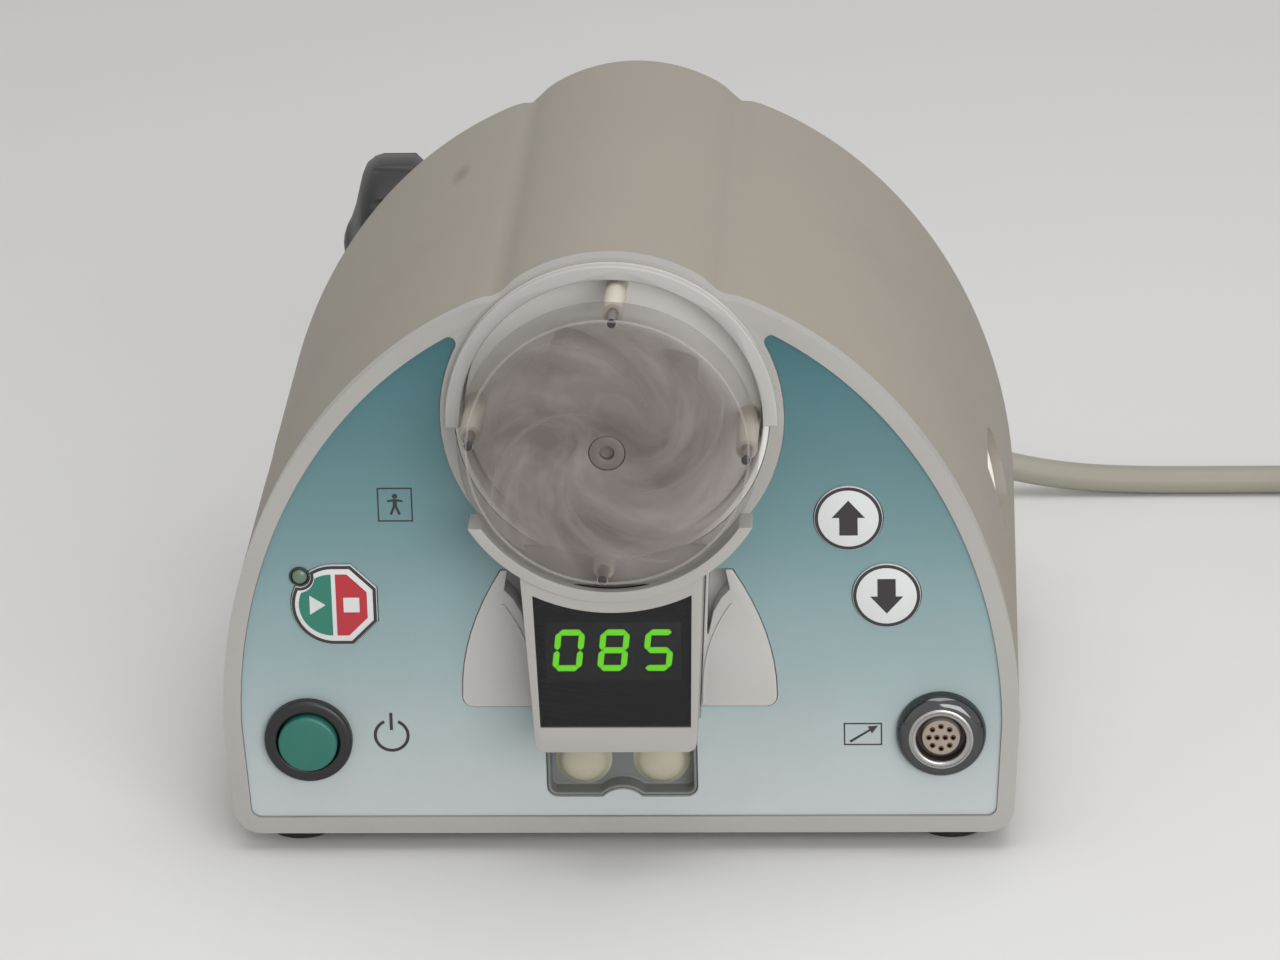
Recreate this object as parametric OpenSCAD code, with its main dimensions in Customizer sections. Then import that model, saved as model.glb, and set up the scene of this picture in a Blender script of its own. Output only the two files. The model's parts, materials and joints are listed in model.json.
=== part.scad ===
// Bench-top roller pump for irrigation fluid: a bell-shaped casing with a hump over the pump head,
// a clear rotor with four free rollers, a digital display under a hood, press keys, a pole clamp
// on the back and a mains lead. All lengths in millimetres. Front faces -Y, +Z is up.

/* [Casing] */
// Half of the casing's width at its widest
half_w = 114.5; // [105:0.5:125]
// Half of the casing's width at the bottom edge
foot_half_w = 113; // [103:0.5:123]
// Height of the widest level of the casing
waist_z = 40; // [34:0.5:48]
// Rise of the arch above the widest level
arch_h = 137; // [128:0.5:146]
// Radius of the round hump over the pump head
hump_r = 48; // [46.5:0.25:52]
// Reach of the crease between hump and arch
crease = 3; // [2:0.5:6]
// Depth of that crease
crease_deep = 1.5; // [0:0.25:2]
// Radius of the two bottom corners
corner_r = 8; // [5:0.5:12]
// Depth from the front panel to the back of the rear panel
depth = 170; // [166:1:200]
// Wall of the cover
wall = 3; // [2:0.25:4]
// Thickness of the rear panel
rear_t = 3; // [2:0.25:5]
// Thickness of the base plate
base_t = 3; // [2:0.25:4]
// Play between fixed pieces that fit into each other
fit = 0.15; // [0.05:0.05:0.3]

/* [Feet] */
// Height of the rubber feet
foot_h = 5.8; // [4:0.2:9]
// Radius of the rubber feet
foot_r = 10; // [7:0.5:12]
// Distance of the feet from the casing's side
foot_side = 18; // [15:1:28]
// Distance of the feet from the front and the back edge
foot_inset = 17; // [14:1:30]

/* [Front] */
// Thickness of the front bezel behind the overlay
bezel_t = 3.5; // [2.5:0.25:5]
// Width of the rim around the overlay
rim_w = 5; // [3.5:0.25:7]
// How far the rim stands in front of the overlay
rim_lift = 1; // [0.6:0.1:2]
// Thickness of the graphic overlay
overlay_t = 0.5; // [0.3:0.05:0.5]
// Radius of the overlay's cut-out around the pump head
ring_r = 48.5; // [47:0.25:51]

/* [Pump head] */
// Height of the rotor axis
axis_z = 135.5; // [133:0.25:138]
// Inner radius of the pump cup
cup_r = 42.6; // [42:0.1:43.5]
// Wall of the pump cup
cup_wall = 1.8; // [1.4:0.1:2.2]
// Depth of the pump cup's floor behind the panel
cup_deep = 10; // [8:0.5:14]
// Outer radius of the raised collar over the upper half
collar_r = 46.8; // [46:0.1:47.4]
// Height of the raised collar in front of the rim
collar_h = 4; // [2:0.25:7]
// Radius of the clear rotor disc
disc_r = 42.2; // [41:0.1:42.6]
// Thickness of the clear rotor disc
disc_t = 7.5; // [6:0.25:9]
// Distance of the disc's face in front of the panel
disc_out = 28; // [26:0.5:32]
// Rounding of the disc's front edge
disc_round = 5; // [3:0.25:5.5]
// Circle on which the rollers sit
roller_pcd_r = 38.6; // [37:0.1:39]
// Radius of a roller
roller_r = 3; // [2.5:0.1:3.2]
// Radius of a roller's axle
axle_r = 1.5; // [1.2:0.1:1.8]
// Running play of shafts and axles on the radius
run = 0.05; // [0.02:0.01:0.08]
// Gap between moving pieces
gap = 0.3; // [0.3:0.05:0.6]
// Turn of the rotor at rest, clockwise
rest_turn = 3.4; // [0:0.1:10]
// Radius of the rotor shaft
shaft_r = 5; // [4:0.25:6]

/* [Drive] */
// Gear module
gear_m = 1.1; // [1.05:0.01:1.15]
// Teeth of the gear on the rotor shaft
gear_n = 54; // [52:1:56]
// Teeth of the motor pinion
pinion_n = 18; // [17:1:20]
// Tooth play at the pitch circle
backlash = 0.16; // [0.12:0.02:0.3]
// Width of the gears
gear_w = 8; // [6:0.5:10]
// Distance of the gear plate behind the panel
plate_y = 50; // [48:1:60]
// Thickness of the gear plate
plate_t = 4; // [3:0.5:6]
// Radius of the motor
motor_r = 20; // [17:0.5:22]
// Length of the motor
motor_l = 58; // [50:1:70]
// Radius of the motor's shaft
motor_shaft_r = 2.5; // [2:0.1:3]

/* [Display] */
// Half width of the display hood at its foot
hood_half = 22.75; // [22:0.25:24]
// Height of the hood's lower edge
hood_z = 42.2; // [42:0.1:44]
// How far the hood stands in front of the panel
hood_out = 24; // [22:0.5:26]
// Wall of the hood
hood_wall = 1.6; // [1.2:0.1:2]
// Height of the window's lower edge
window_z = 49.8; // [48:0.1:52]
// Height of the middle of the digits
digit_z = 73.4; // [72:0.1:75]
// Distance from digit to digit
digit_pitch = 12.7; // [12:0.1:13.4]
// Height of a digit
digit_h = 12.7; // [11:0.1:14]

/* [Keys and sockets] */
// Travel of the three panel keys
key_travel = 0.8; // [0.5:0.1:1.2]
// Radius of the two arrow keys
arrow_r = 9.7; // [8.5:0.1:10.5]
// Half width of the start and stop key
start_r = 12.3; // [11:0.1:13]
// Radius of the power switch's ring
switch_r = 12.75; // [12:0.05:14]
// Radius of the power button's cap
button_r = 8.5; // [7.5:0.1:9]
// Travel of the power button
button_travel = 3; // [2:0.25:4]
// Radius of the remote socket's front nut
socket_r = 13; // [12:0.1:14]
// Radius of the remote socket's bore
socket_bore_r = 7.2; // [6.5:0.05:7.6]
// Depth of the remote socket's bore
socket_deep = 6; // [5:0.25:8]
// Number of contacts in the outer circle of the socket
contact_n = 8; // [6:1:10]

/* [Grips] */
// Length of the hand grips
grip_l = 40; // [34:1:56]
// Height of the hand grips
grip_h = 22; // [18:0.5:28]
// Middle height of the hand grips
grip_z = 81; // [72:0.5:84]
// Place of the grips' front end behind the panel
grip_y = 66; // [56:1:86]
// Depth of the hand grips' floor from the casing's widest point
grip_deep = 26; // [20:0.5:30]
// Wall of the grip cups
grip_wall = 2; // [1.5:0.25:3]

/* [Pole clamp] */
// Radius of the pole that the clamp takes
pole_r = 12.7; // [9:0.1:13.5]
// Height of the clamp's middle
clamp_z = 114; // [110:0.5:124]
// Height of the clamp bracket
clamp_h = 30; // [26:0.5:40]
// Distance of the clamp screw behind the rear panel
clamp_y = 30; // [29.5:0.5:34]
// Radius of the clamp knob
knob_r = 28; // [24:0.5:28.5]
// Radius of the clamp screw
screw_r = 4; // [3.5:0.1:4.5]
// Rise of the clamp screw per turn
screw_pitch = 2; // [1.5:0.25:3]

/* [Mains lead] */
// Radius of the mains lead
cord_r = 4.5; // [4:0.1:4.5]
// Sideways place of the mains inlet
inlet_x = 66; // [62:1:70]
// Height of the mains inlet
inlet_z = 30; // [28:1:38]
// Distance from turn to turn in the coil
coil_pitch = 9.7; // [9.5:0.05:11]
// Largest radius of the coil's centre line
coil_r = 62; // [60:0.5:66]

/* [Hidden] */
$fn = 64;

// Levels along the depth, measured from the overlay's face at 0 and growing to the back
floor_y = overlay_t;
bezel_back = floor_y + bezel_t;
cover_end = depth - rear_t;
clamp_axis_y = depth + clamp_y;
// The frame's origin is under the middle of the pump, without its lead
y_shift = -(clamp_axis_y + knob_r - disc_out) / 2;
bottom_z = foot_h;
plate_top = bottom_z + base_t;
motor_z = axis_z - gear_m * (gear_n + pinion_n) / 2;
disc_back = -disc_out + disc_t;
roller_back = 6;
back_plate_y = roller_back + gap;
back_plate_t = cup_deep - back_plate_y - 2 * gap;
gear_y = 30;
lip_in = disc_r + 1.1;
lip_out = lip_in + 3.2;
hood_top = axis_z - lip_out + 3;
hood_top_half = hood_half + 2.75;
// The hood's upper corners rise to the lip under the rotor
hood_tip = hood_top + 4.3;
window_arc = lip_out + 3.6;
window_in = -hood_out + hood_wall;
digit_face = window_in - 0.2;
sensor_half = 21.65;
sensor_lo = 17.1;
sensor_hi = hood_z - 0.6;
sensor_floor = 6;
foot_x = foot_half_w - foot_side;
switch_at = [-half_w + 24.3, 35.7];
socket_at = [half_w - 22.5, 37];
start_at = [-half_w + 33.5, 78];
lamp_at = start_at + [-9.6, 8.7];
lamp_r = 2.2;
socket_out = 5;
socket_floor = socket_deep - socket_out;
insert_r = socket_bore_r - 0.4;
insert_l = 10;
up_at = [half_w - 48.3, 104.1];
down_at = [half_w - 37.7, 80.2];
barrel_r = 9.8;
tact_y = 12.5;
board_y = tact_y + 0.5;
board_t = 1.6;
post_at = [start_at + [19, -12], start_at + [19, 19], down_at + [-16.3, -10.2], down_at + [7.7, 16.8]];
standoff_hi = axis_z - 8;
standoff_lo = 96;
standoff_x = side_x(standoff_hi) - 28;
standoff_low_x = half_w - 64.5;
standoff_at = [[-standoff_x, standoff_hi], [standoff_x, standoff_hi],
  [-standoff_low_x, standoff_lo], [standoff_low_x, standoff_lo]];
standoff_r = 5;
bearing_r = 9;
plate_half = standoff_x + standoff_r + 1;
plate_lo = motor_z - motor_r - 4;
plate_hi = axis_z + bearing_r + 5;
supply_w = 46;
supply_l = 44;
supply_h = 24;
core_w = 52;
core_l = 54;
core_h = 8;
winding_h = 34;
main_w = 68;
main_l = 90;
main_x = -half_w + 26;
main_y = 60;
pillar_h = 6;
supply_y = 40;
core_y = 106;
boss_lo = 24;
boss_hi = 132;
rear_boss = [[-low_x(boss_lo) + 9.6, boss_lo], [low_x(boss_lo) - 9.6, boss_lo],
  [-side_x(boss_hi) + 7.8, boss_hi], [side_x(boss_hi) - 7.8, boss_hi]];
boss_y = [foot_inset + 16, cover_end - 40];
boss_x = foot_half_w - 15;
saddle_x = 10;
saddle_r = pole_r + 0.1;
lug_x = -38;
lug_w = 14;
pad_r = 8;
pad_x = -14;
pad_t = 6;
tip_r = 3;
knob_x = -64;
knob_l = 31;
inlet_out = 2;
conn_len = 30;
relief_len = 20;
cord_y0 = depth + inlet_out + conn_len + relief_len;

// Outline of the casing grown by d: a half ellipse blended with the round hump, straight sides
function ell(t, d) = 1 / sqrt(pow(cos(t) / (half_w + d), 2) + pow(sin(t) / (arch_h + d), 2));
function hump(t, d) =
  let (c = axis_z - waist_z, q = pow(hump_r + d, 2) - pow(c * cos(t), 2))
  q > 0 ? c * sin(t) + sqrt(q) : 0;
function blend(p, q, deep) =
  let (h = max(crease - abs(p - q), 0) / crease)
  max(p, q) - h * h * deep;
// Only the outside has the crease's groove
function edge(t, d) = blend(ell(t, d), hump(t, d), d > -1 ? crease_deep : 0);
function outline(d) =
  let (r = max(corner_r + d, 0.6), x = foot_half_w + d, z = bottom_z - d)
  concat(
    [for (t = [0:1.25:180]) [edge(t, d) * cos(t), waist_z + edge(t, d) * sin(t)]],
    [for (a = [180:15:270]) [-x + r + r * cos(a), z + r + r * sin(a)]],
    [for (a = [270:15:360]) [x - r + r * cos(a), z + r + r * sin(a)]]);
function side_x(z) = half_w * sqrt(1 - pow((z - waist_z) / arch_h, 2));
function low_x(z) =
  foot_half_w + (half_w - foot_half_w) * (z - bottom_z - corner_r) / (waist_z - bottom_z - corner_r);

// Moves a piece from the panel's frame to the pump's frame
module place() { translate([0, y_shift, 0]) children(); }
// Extrudes a front view from depth y0 to depth y1
module ext(y0, y1) { translate([0, y1, 0]) rotate([90, 0, 0]) linear_extrude(y1 - y0) children(); }
// Cylinder along the depth
module cy(p, r, y0, y1) {
  translate([p[0], y1, p[1]]) rotate([90, 0, 0]) cylinder(r = r, h = y1 - y0);
}
// Tube along the depth
module ty(p, r, ri, y0, y1) {
  difference() {
    cy(p, r, y0, y1);
    cy(p, ri, y0 - 1, y1 + 1);
  }
}
// Cylinder along the width
module cx(y, z, r, x0, x1) { translate([x0, y, z]) rotate([0, 90, 0]) cylinder(r = r, h = x1 - x0); }
// Extrudes a side view from x0 to x1
module ex(x0, x1) { translate([x0, 0, 0]) rotate([90, 0, 90]) linear_extrude(x1 - x0) children(); }
// Box between two corners
module box(a, b) { translate(a) cube(b - a); }
// Turned piece about the rotor axis, its profile given as radius and depth
module turned(z = axis_z) {
  translate([0, 0, z]) rotate([-90, 0, 0]) rotate_extrude() children();
}
module shell2d(d0, d1) {
  difference() {
    polygon(outline(d0));
    polygon(outline(d1));
  }
}

// Wing of the tube guide, right side: a parabola on the outside, the hood on the inside
function hood_x(z) = hood_half + (hood_top_half - hood_half) * (z - hood_z) / (hood_top - hood_z);
wing_lo = hood_z + 3.6;
wing_hi = hood_top - 3.7;
wing_x = 45.1;
function wing_out(z) = wing_x - 12.1 * pow(max(z - wing_lo - 4, 0) / (wing_hi - wing_lo - 4), 2);
module wing(d) {
  polygon(concat(
    [[hood_x(wing_lo) + 0.3 - d, wing_lo - d]],
    [for (a = [-90:22.5:0]) [wing_x - 3 + (3 + d) * cos(a), wing_lo + 3 + (3 + d) * sin(a)]],
    [for (z = [wing_lo + 4:(wing_hi - wing_lo - 4) / 8:wing_hi - 0.01]) [wing_out(z) + d, z]],
    [[wing_out(wing_hi) + d, wing_hi + d], [hood_x(wing_hi) + 0.3 - d, wing_hi + d]]));
}
module wing_channel() {
  polygon([[hood_x(wing_hi) + 1.2, wing_hi + 1], [hood_x(wing_hi) + 5.6, wing_hi + 1],
    [hood_x(wing_hi) + 6.9, wing_hi - 6], [hood_x(wing_hi) + 4.4, wing_hi - 8.7],
    [hood_x(wing_hi - 13) + 2.8, wing_hi - 13], [hood_x(wing_hi - 20) + 1.7, wing_hi - 20],
    [hood_x(wing_hi - 20) + 1.2, wing_hi - 20]]);
}
module both() {
  children();
  mirror([1, 0, 0]) children();
}
// Foot of the display hood grown by d
module hood_foot(d) {
  difference() {
    polygon([[-hood_half - d, hood_z - d], [hood_half + d, hood_z - d],
      [hood_x(hood_tip) + d, hood_tip + d], [-hood_x(hood_tip) - d, hood_tip + d]]);
    translate([0, axis_z]) circle(r = lip_in - d);
  }
}
module window(d) {
  difference() {
    polygon([[-hood_half + 1.4 - d, window_z - d], [hood_half - 1.4 + d, window_z - d],
      [hood_half - 0.3 + d, hood_top], [-hood_half + 0.3 - d, hood_top]]);
    translate([0, axis_z]) circle(r = window_arc - d);
  }
}
module sensor(d) {
  r = 3 + d;
  difference() {
    polygon(concat(
      [for (a = [180:15:270]) [-sensor_half + 3 + r * cos(a), sensor_lo + 3 + r * sin(a)]],
      [for (a = [270:15:360]) [sensor_half - 3 + r * cos(a), sensor_lo + 3 + r * sin(a)]],
      [[sensor_half + d, sensor_hi + d], [-sensor_half - d, sensor_hi + d]]));
    translate([0, sensor_lo - 5.8]) circle(r = 8.2 - d);
  }
}
// Start and stop key: round on the left, eight-sided on the right, cut out round the run lamp
module start_shape(d) {
  r = start_r + d;
  difference() {
    translate(start_at) {
      intersection() {
        circle(r = r);
        translate([-r, -r]) square([r, 2 * r]);
      }
      polygon([[0, -r], [r * 0.42, -r], [r, -r * 0.42], [r, r * 0.42], [r * 0.42, r], [0, r]]);
    }
    translate(lamp_at) circle(r = lamp_r + 0.9 - min(d, gap));
  }
}

module front_bezel() {
  color("gainsboro") place() difference() {
    union() {
      ext(-rim_lift, bezel_back) polygon(outline(0));
      ext(bezel_back, bezel_back + 5) shell2d(-wall - fit, -wall - fit - 2);
      for (p = post_at) cy(p, 3, bezel_back, board_y);
    }
    ext(-rim_lift - 1, floor_y) difference() {
      polygon(outline(-rim_w));
      translate([0, axis_z]) circle(r = ring_r);
    }
    cy([0, axis_z], cup_r + cup_wall + fit, -rim_lift - 1, bezel_back + 1);
    cy([0, axis_z], max(cup_r + cup_wall + 4 * fit, hump_r - wall), bezel_back, bezel_back + 6);
    ext(-1, bezel_back + 1) both() wing(fit);
    ext(-rim_lift - 1, bezel_back + 1) sensor(fit);
    ext(-rim_lift - 1, bezel_back + 1) start_shape(gap);
    for (p = [up_at, down_at]) cy(p, arrow_r + gap, -1, bezel_back + 1);
    for (p = [switch_at, socket_at]) cy(p, barrel_r + fit, -1, bezel_back + 1);
    cy(lamp_at, lamp_r + fit, -1, bezel_back + 1);
    ext(-rim_lift - 1, floor_y) hood_foot(fit);
    cy([0, hood_z + 14], 4, -1, bezel_back + 1);
  }
}

module main_cover() {
  color("wheat") place() difference() {
    union() {
      ext(bezel_back, cover_end) shell2d(0, -wall);
      intersection() {
        ext(cover_end - 20, cover_end) polygon(outline(-wall / 2));
        union() for (p = rear_boss) cy(p, 9, cover_end - 20, cover_end);
      }
      intersection() {
        ext(boss_y[0] - 9, boss_y[1] + 9) polygon(outline(-wall / 2));
        union() for (s = [-1, 1], y = boss_y)
          box([s * (boss_x + 2.5) - 10.5, y - 8, plate_top], [s * (boss_x + 2.5) + 10.5, y + 8, plate_top + 14]);
      }
    }
    box([-foot_half_w + corner_r - 1, bezel_back - 1, bottom_z - 1],
      [foot_half_w - corner_r + 1, cover_end + 1, plate_top]);
    for (p = rear_boss) cy(p, 1.7, cover_end - 16, cover_end + 1);
    for (s = [-1, 1], y = boss_y) translate([s * boss_x, y, plate_top - 1]) cylinder(r = 1.7, h = 12);
    ex(-half_w - 5, -half_w + grip_deep) grip2d(0);
    ex(half_w - grip_deep, half_w + 5) grip2d(0);
  }
}

module rear_panel() {
  color("dimgray") place() difference() {
    ext(cover_end, depth) polygon(outline(0));
    for (p = rear_boss) cy(p, 2.2, cover_end - 1, depth + 1);
    ext(cover_end - 1, depth + 1) translate([inlet_x - 14, inlet_z - 10.5]) square([28, 21]);
    for (s = [-1, 1]) cy([inlet_x + 20 * s, inlet_z], 1.8, cover_end - 1, depth + 1);
    for (x = [-26, 24], z = [-10, 10]) cy([x, clamp_z + z], 2.7, cover_end - 1, depth + 1);
    for (i = [0:6]) ext(cover_end - 1, depth + 1) translate([-80 + 9 * i, 52]) square([3.5, 22]);
  }
}

module base_plate() {
  color("silver") place() difference() {
    box([-foot_half_w + corner_r - 1 + fit, bezel_back + 5 + fit, bottom_z],
      [foot_half_w - corner_r + 1 - fit, cover_end, plate_top]);
    for (s = [-1, 1], y = boss_y) translate([s * boss_x, y, bottom_z - 1]) cylinder(r = 2.2, h = base_t + 2);
    for (x = [-60:12:60]) box([x, 86, bottom_z - 1], [x + 4, 104, plate_top + 1]);
  }
}

module rubber_feet() {
  color("black") place() for (s = [-1, 1], y = [foot_inset, depth - foot_inset])
    translate([s * foot_x, y, 0]) cylinder(r = foot_r, h = foot_h);
}

module panel_overlay() {
  color("lightseagreen") place() ext(0, floor_y) difference() {
    polygon(outline(-rim_w - fit));
    translate([0, axis_z]) circle(r = ring_r + fit);
    both() wing(2 * fit);
    hood_foot(2 * fit);
    sensor(2 * fit);
    start_shape(gap);
    for (p = [up_at, down_at]) translate(p) circle(r = arrow_r + gap);
    for (p = [switch_at, socket_at]) translate(p) circle(r = barrel_r + fit);
    translate(lamp_at) circle(r = lamp_r + fit);
  }
}

// Two moulded trays beside the hood that lead the tube down, each with a channel
module tube_guides() {
  color("ivory") place() both() difference() {
    ext(-0.6, cup_deep) wing(0);
    ext(-1, cup_deep - 2) wing_channel();
  }
}

module display_hood() {
  color("gainsboro") place() {
    difference() {
      ext(-hood_out, floor_y) hood_foot(0);
      ext(-hood_out + hood_wall, floor_y + 1) difference() {
        hood_foot(-hood_wall);
        translate([0, axis_z]) circle(r = lip_out + hood_wall);
      }
      ext(-hood_out - 1, 0) window(0);
      cy([0, axis_z], cup_r + cup_wall + 2 * fit, -rim_lift - fit, floor_y + 1);
    }
    ext(-hood_out - 1, -hood_out + 10) intersection() {
      translate([0, axis_z]) difference() {
        circle(r = lip_out);
        circle(r = lip_in);
      }
      difference() {
        translate([-60, hood_z]) square([120, axis_z - hood_z - lip_out * sin(31)]);
        hood_foot(0);
      }
    }
    ext(-hood_out - 1, -hood_out) intersection() {
      translate([0, axis_z]) difference() {
        circle(r = lip_out);
        circle(r = lip_in);
      }
      hood_foot(0);
    }
  }
}

module display_window() {
  color([0.05, 0.05, 0.06]) place() ext(-hood_out + 0.4, window_in - 0.6) window(-fit);
}

module display_module() {
  color("black") place() {
    box([-1.5 * digit_pitch, window_in - 0.2, digit_z - digit_h / 2 - 3], [1.5 * digit_pitch, -14, digit_z + digit_h / 2 + 2.2]);
    box([-20.5, -14, window_z + 2.5], [20.5, -12.4, digit_z + digit_h / 2 + 2.5]);
    for (x = [-15, 15]) cy([x, window_z + 7], 2.5, -12.4, floor_y);
  }
}

// Lit bars of the three digits: each bar is a thin lozenge on the module's face
seg_w = 1.7;
dig_w = digit_h * 0.52;
LIT = [[1, 1, 1, 1, 1, 1, 0], [1, 1, 1, 1, 1, 1, 1], [1, 0, 1, 1, 0, 1, 1]];
module bar(l) {
  polygon([[-l / 2, 0], [-l / 2 + seg_w / 2, seg_w / 2], [l / 2 - seg_w / 2, seg_w / 2], [l / 2, 0],
    [l / 2 - seg_w / 2, -seg_w / 2], [-l / 2 + seg_w / 2, -seg_w / 2]]);
}
module digit(on) {
  h = digit_h - seg_w;
  g = 0.25;
  if (on[0] == 1) translate([0, h / 2]) bar(dig_w - g);
  if (on[1] == 1) translate([dig_w / 2, h / 4]) rotate(90) bar(h / 2 - g);
  if (on[2] == 1) translate([dig_w / 2, -h / 4]) rotate(90) bar(h / 2 - g);
  if (on[3] == 1) translate([0, -h / 2]) bar(dig_w - g);
  if (on[4] == 1) translate([-dig_w / 2, -h / 4]) rotate(90) bar(h / 2 - g);
  if (on[5] == 1) translate([-dig_w / 2, h / 4]) rotate(90) bar(h / 2 - g);
  if (on[6] == 1) bar(dig_w - g);
}
module display_digits() {
  color("lime") place() ext(digit_face - 0.3, digit_face) for (i = [0:2])
    translate([(i - 1) * digit_pitch, digit_z]) multmatrix([[1, 0.12, 0, 0], [0, 1, 0, 0], [0, 0, 1, 0]]) digit(LIT[i]);
}

module sensor_recess() {
  color("gray") place() difference() {
    ext(0.3, sensor_floor + 3) sensor(0);
    ext(-1, sensor_floor) difference() {
      sensor(-1);
      translate([-sensor_half, sensor_hi - 1]) square([2 * sensor_half, 3]);
    }
  }
}

module sensor_pads() {
  color("ivory") place() for (x = [-11.25, 11.25]) translate([x, sensor_floor, sensor_lo + 9.4]) intersection() {
    translate([0, 6.2, 0]) sphere(r = 10.8);
    rotate([90, 0, 0]) cylinder(r = 7, h = 6);
  }
}

module pump_cup() {
  color("gainsboro") place() difference() {
    union() {
      cy([0, axis_z], cup_r + cup_wall, -rim_lift, cup_deep + 3);
      intersection() {
        cy([0, axis_z], collar_r, -rim_lift - collar_h, -rim_lift);
        box([-60, -20, axis_z - 1.5], [60, 5, axis_z + 60]);
      }
      cy([0, axis_z], bearing_r + 3, cup_deep, cup_deep + 10);
    }
    cy([0, axis_z], cup_r, -20, cup_deep);
    cy([0, axis_z], bearing_r + 0.02, cup_deep - 1, cup_deep + 11);
  }
}

module front_bearing() {
  color("goldenrod") place() ty([0, axis_z], bearing_r, shaft_r + run, cup_deep, cup_deep + 10);
}

module rear_bearing() {
  color("goldenrod") place() ty([0, axis_z], bearing_r, shaft_r + run, plate_y - 1, plate_y + plate_t + 1);
}

function roller_pos(i) = let (a = 90 * i - rest_turn) [roller_pcd_r * cos(a), axis_z + roller_pcd_r * sin(a)];

module rotor_disc() {
  color([0.8, 0.85, 0.9, 0.5]) place() difference() {
    turned() {
      translate([0, -disc_out]) square([disc_r - disc_round, disc_t]);
      translate([0, -disc_out + disc_round]) square([disc_r, disc_t - disc_round]);
      translate([disc_r - disc_round, -disc_out + disc_round]) circle(r = disc_round);
    }
    cy([0, axis_z], 5.2, -disc_out - 1, -disc_out + 3);
    cy([0, axis_z], 2.6, -disc_out - 1, 0);
    for (i = [0:3]) cy(roller_pos(i), axle_r + 0.02, -disc_out - 1, 0);
    box([-60, disc_back, axis_z - 60], [60, 10, axis_z + 60]);
  }
}

module rotor_hub() {
  color([0.85, 0.85, 0.85, 0.7]) place() difference() {
    ext(disc_back, back_plate_y) translate([0, axis_z]) {
      circle(r = shaft_r + 6);
      for (i = [0:3]) rotate(90 * i + 28) intersection() {
        translate([15, 8]) circle(r = 15);
        translate([15, -5]) circle(r = 15);
      }
    }
    cy([0, axis_z], shaft_r + 0.02, -40, 40);
  }
}

module rotor_back_plate() {
  color("silver") place() difference() {
    cy([0, axis_z], cup_r - 0.8, back_plate_y, back_plate_y + back_plate_t);
    cy([0, axis_z], shaft_r + 0.02, -40, 40);
    for (i = [0:3]) cy(roller_pos(i), axle_r + 0.02, -40, 40);
  }
}

module roller(i) {
  color("ivory") place() ty(roller_pos(i), roller_r, axle_r + run, disc_back + gap, roller_back);
}
module roller_1() { roller(0); }
module roller_2() { roller(1); }
module roller_3() { roller(2); }
module roller_4() { roller(3); }

module roller_axles() {
  color("silver") place() for (i = [0:3])
    cy(roller_pos(i), axle_r, -disc_out + 0.4, back_plate_y + back_plate_t);
}

module hub_screw() {
  color("silver") place() difference() {
    union() {
      cy([0, axis_z], 5, -disc_out + 0.2, -disc_out + 3);
      cy([0, axis_z], 2.5, -disc_out + 3, disc_back + 14);
    }
    cy([0, axis_z], 2, -disc_out - 1, -disc_out + 2);
  }
}

module rotor_shaft() {
  color("silver") place() difference() {
    union() {
      cy([0, axis_z], shaft_r, disc_back, plate_y + plate_t + 8);
      cy([0, axis_z], shaft_r + 2, gear_y + gear_w, plate_y - 1 - gap);
    }
    cy([0, axis_z], 2.52, disc_back - 1, disc_back + 15);
  }
}

// Tooth flanks by the involute rule
function inv(a) = tan(a) * 180 / PI - a;
function half_tooth(n, r) =
  let (rp = gear_m * n / 2, rb = rp * cos(20), a = acos(min(1, rb / max(r, rb))))
  90 / n - backlash / rp * 90 / PI + inv(20) - inv(a);
function gear_pts(n, turn) =
  let (rp = gear_m * n / 2, r0 = rp - 1.25 * gear_m, r1 = rp + gear_m,
    rr = [r0, max(r0 + 0.1, rp * cos(20)), rp - 0.2 * gear_m, rp + 0.45 * gear_m, r1])
  [for (i = [0:n - 1], k = [0:9])
    let (r = rr[k < 5 ? k : 9 - k], h = half_tooth(n, r), a = turn + 360 / n * i + (k < 5 ? -h : h))
    [r * cos(a), r * sin(a)]];

module drive_gear() {
  color("burlywood") place() difference() {
    ext(gear_y, gear_y + gear_w) translate([0, axis_z]) polygon(gear_pts(gear_n, -90));
    cy([0, axis_z], shaft_r + 0.02, 0, 100);
  }
}

module motor_pinion() {
  color("silver") place() {
    ext(gear_y - 0.5, gear_y + gear_w + 0.5) translate([0, motor_z]) polygon(gear_pts(pinion_n, 90 + 180 / pinion_n));
    cy([0, motor_z], motor_shaft_r, gear_y + gear_w + 0.5, plate_y + 10);
  }
}

module drive_motor() {
  color("dimgray") place() difference() {
    union() {
      cy([0, motor_z], motor_r, plate_y + plate_t, plate_y + plate_t + motor_l);
      cy([0, motor_z], 8, plate_y + 1, plate_y + plate_t);
    }
    cy([0, motor_z], motor_shaft_r + run, plate_y, plate_y + 10 + gap);
    for (s = [-1, 1]) cy([14 * s, motor_z], 1.52, plate_y, plate_y + plate_t + 8);
  }
}

module gear_plate() {
  color("silver") place() difference() {
    ext(plate_y, plate_y + plate_t) polygon([[-plate_half, plate_lo], [plate_half, plate_lo],
      [plate_half, standoff_hi + 6], [bearing_r + 15, plate_hi], [-bearing_r - 15, plate_hi],
      [-plate_half, standoff_hi + 6]]);
    cy([0, axis_z], bearing_r + 0.02, 0, 100);
    cy([0, motor_z], 8 + fit, 0, 100);
    for (s = [-1, 1]) cy([14 * s, motor_z], 1.6, 0, 100);
    for (p = standoff_at) cy(p, 2.1, 0, 100);
  }
}

module standoffs() {
  color("silver") place() for (p = standoff_at) {
    cy(p, standoff_r, bezel_back, plate_y);
    cy(p, 2, plate_y, plate_y + plate_t + 3);
  }
}

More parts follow.
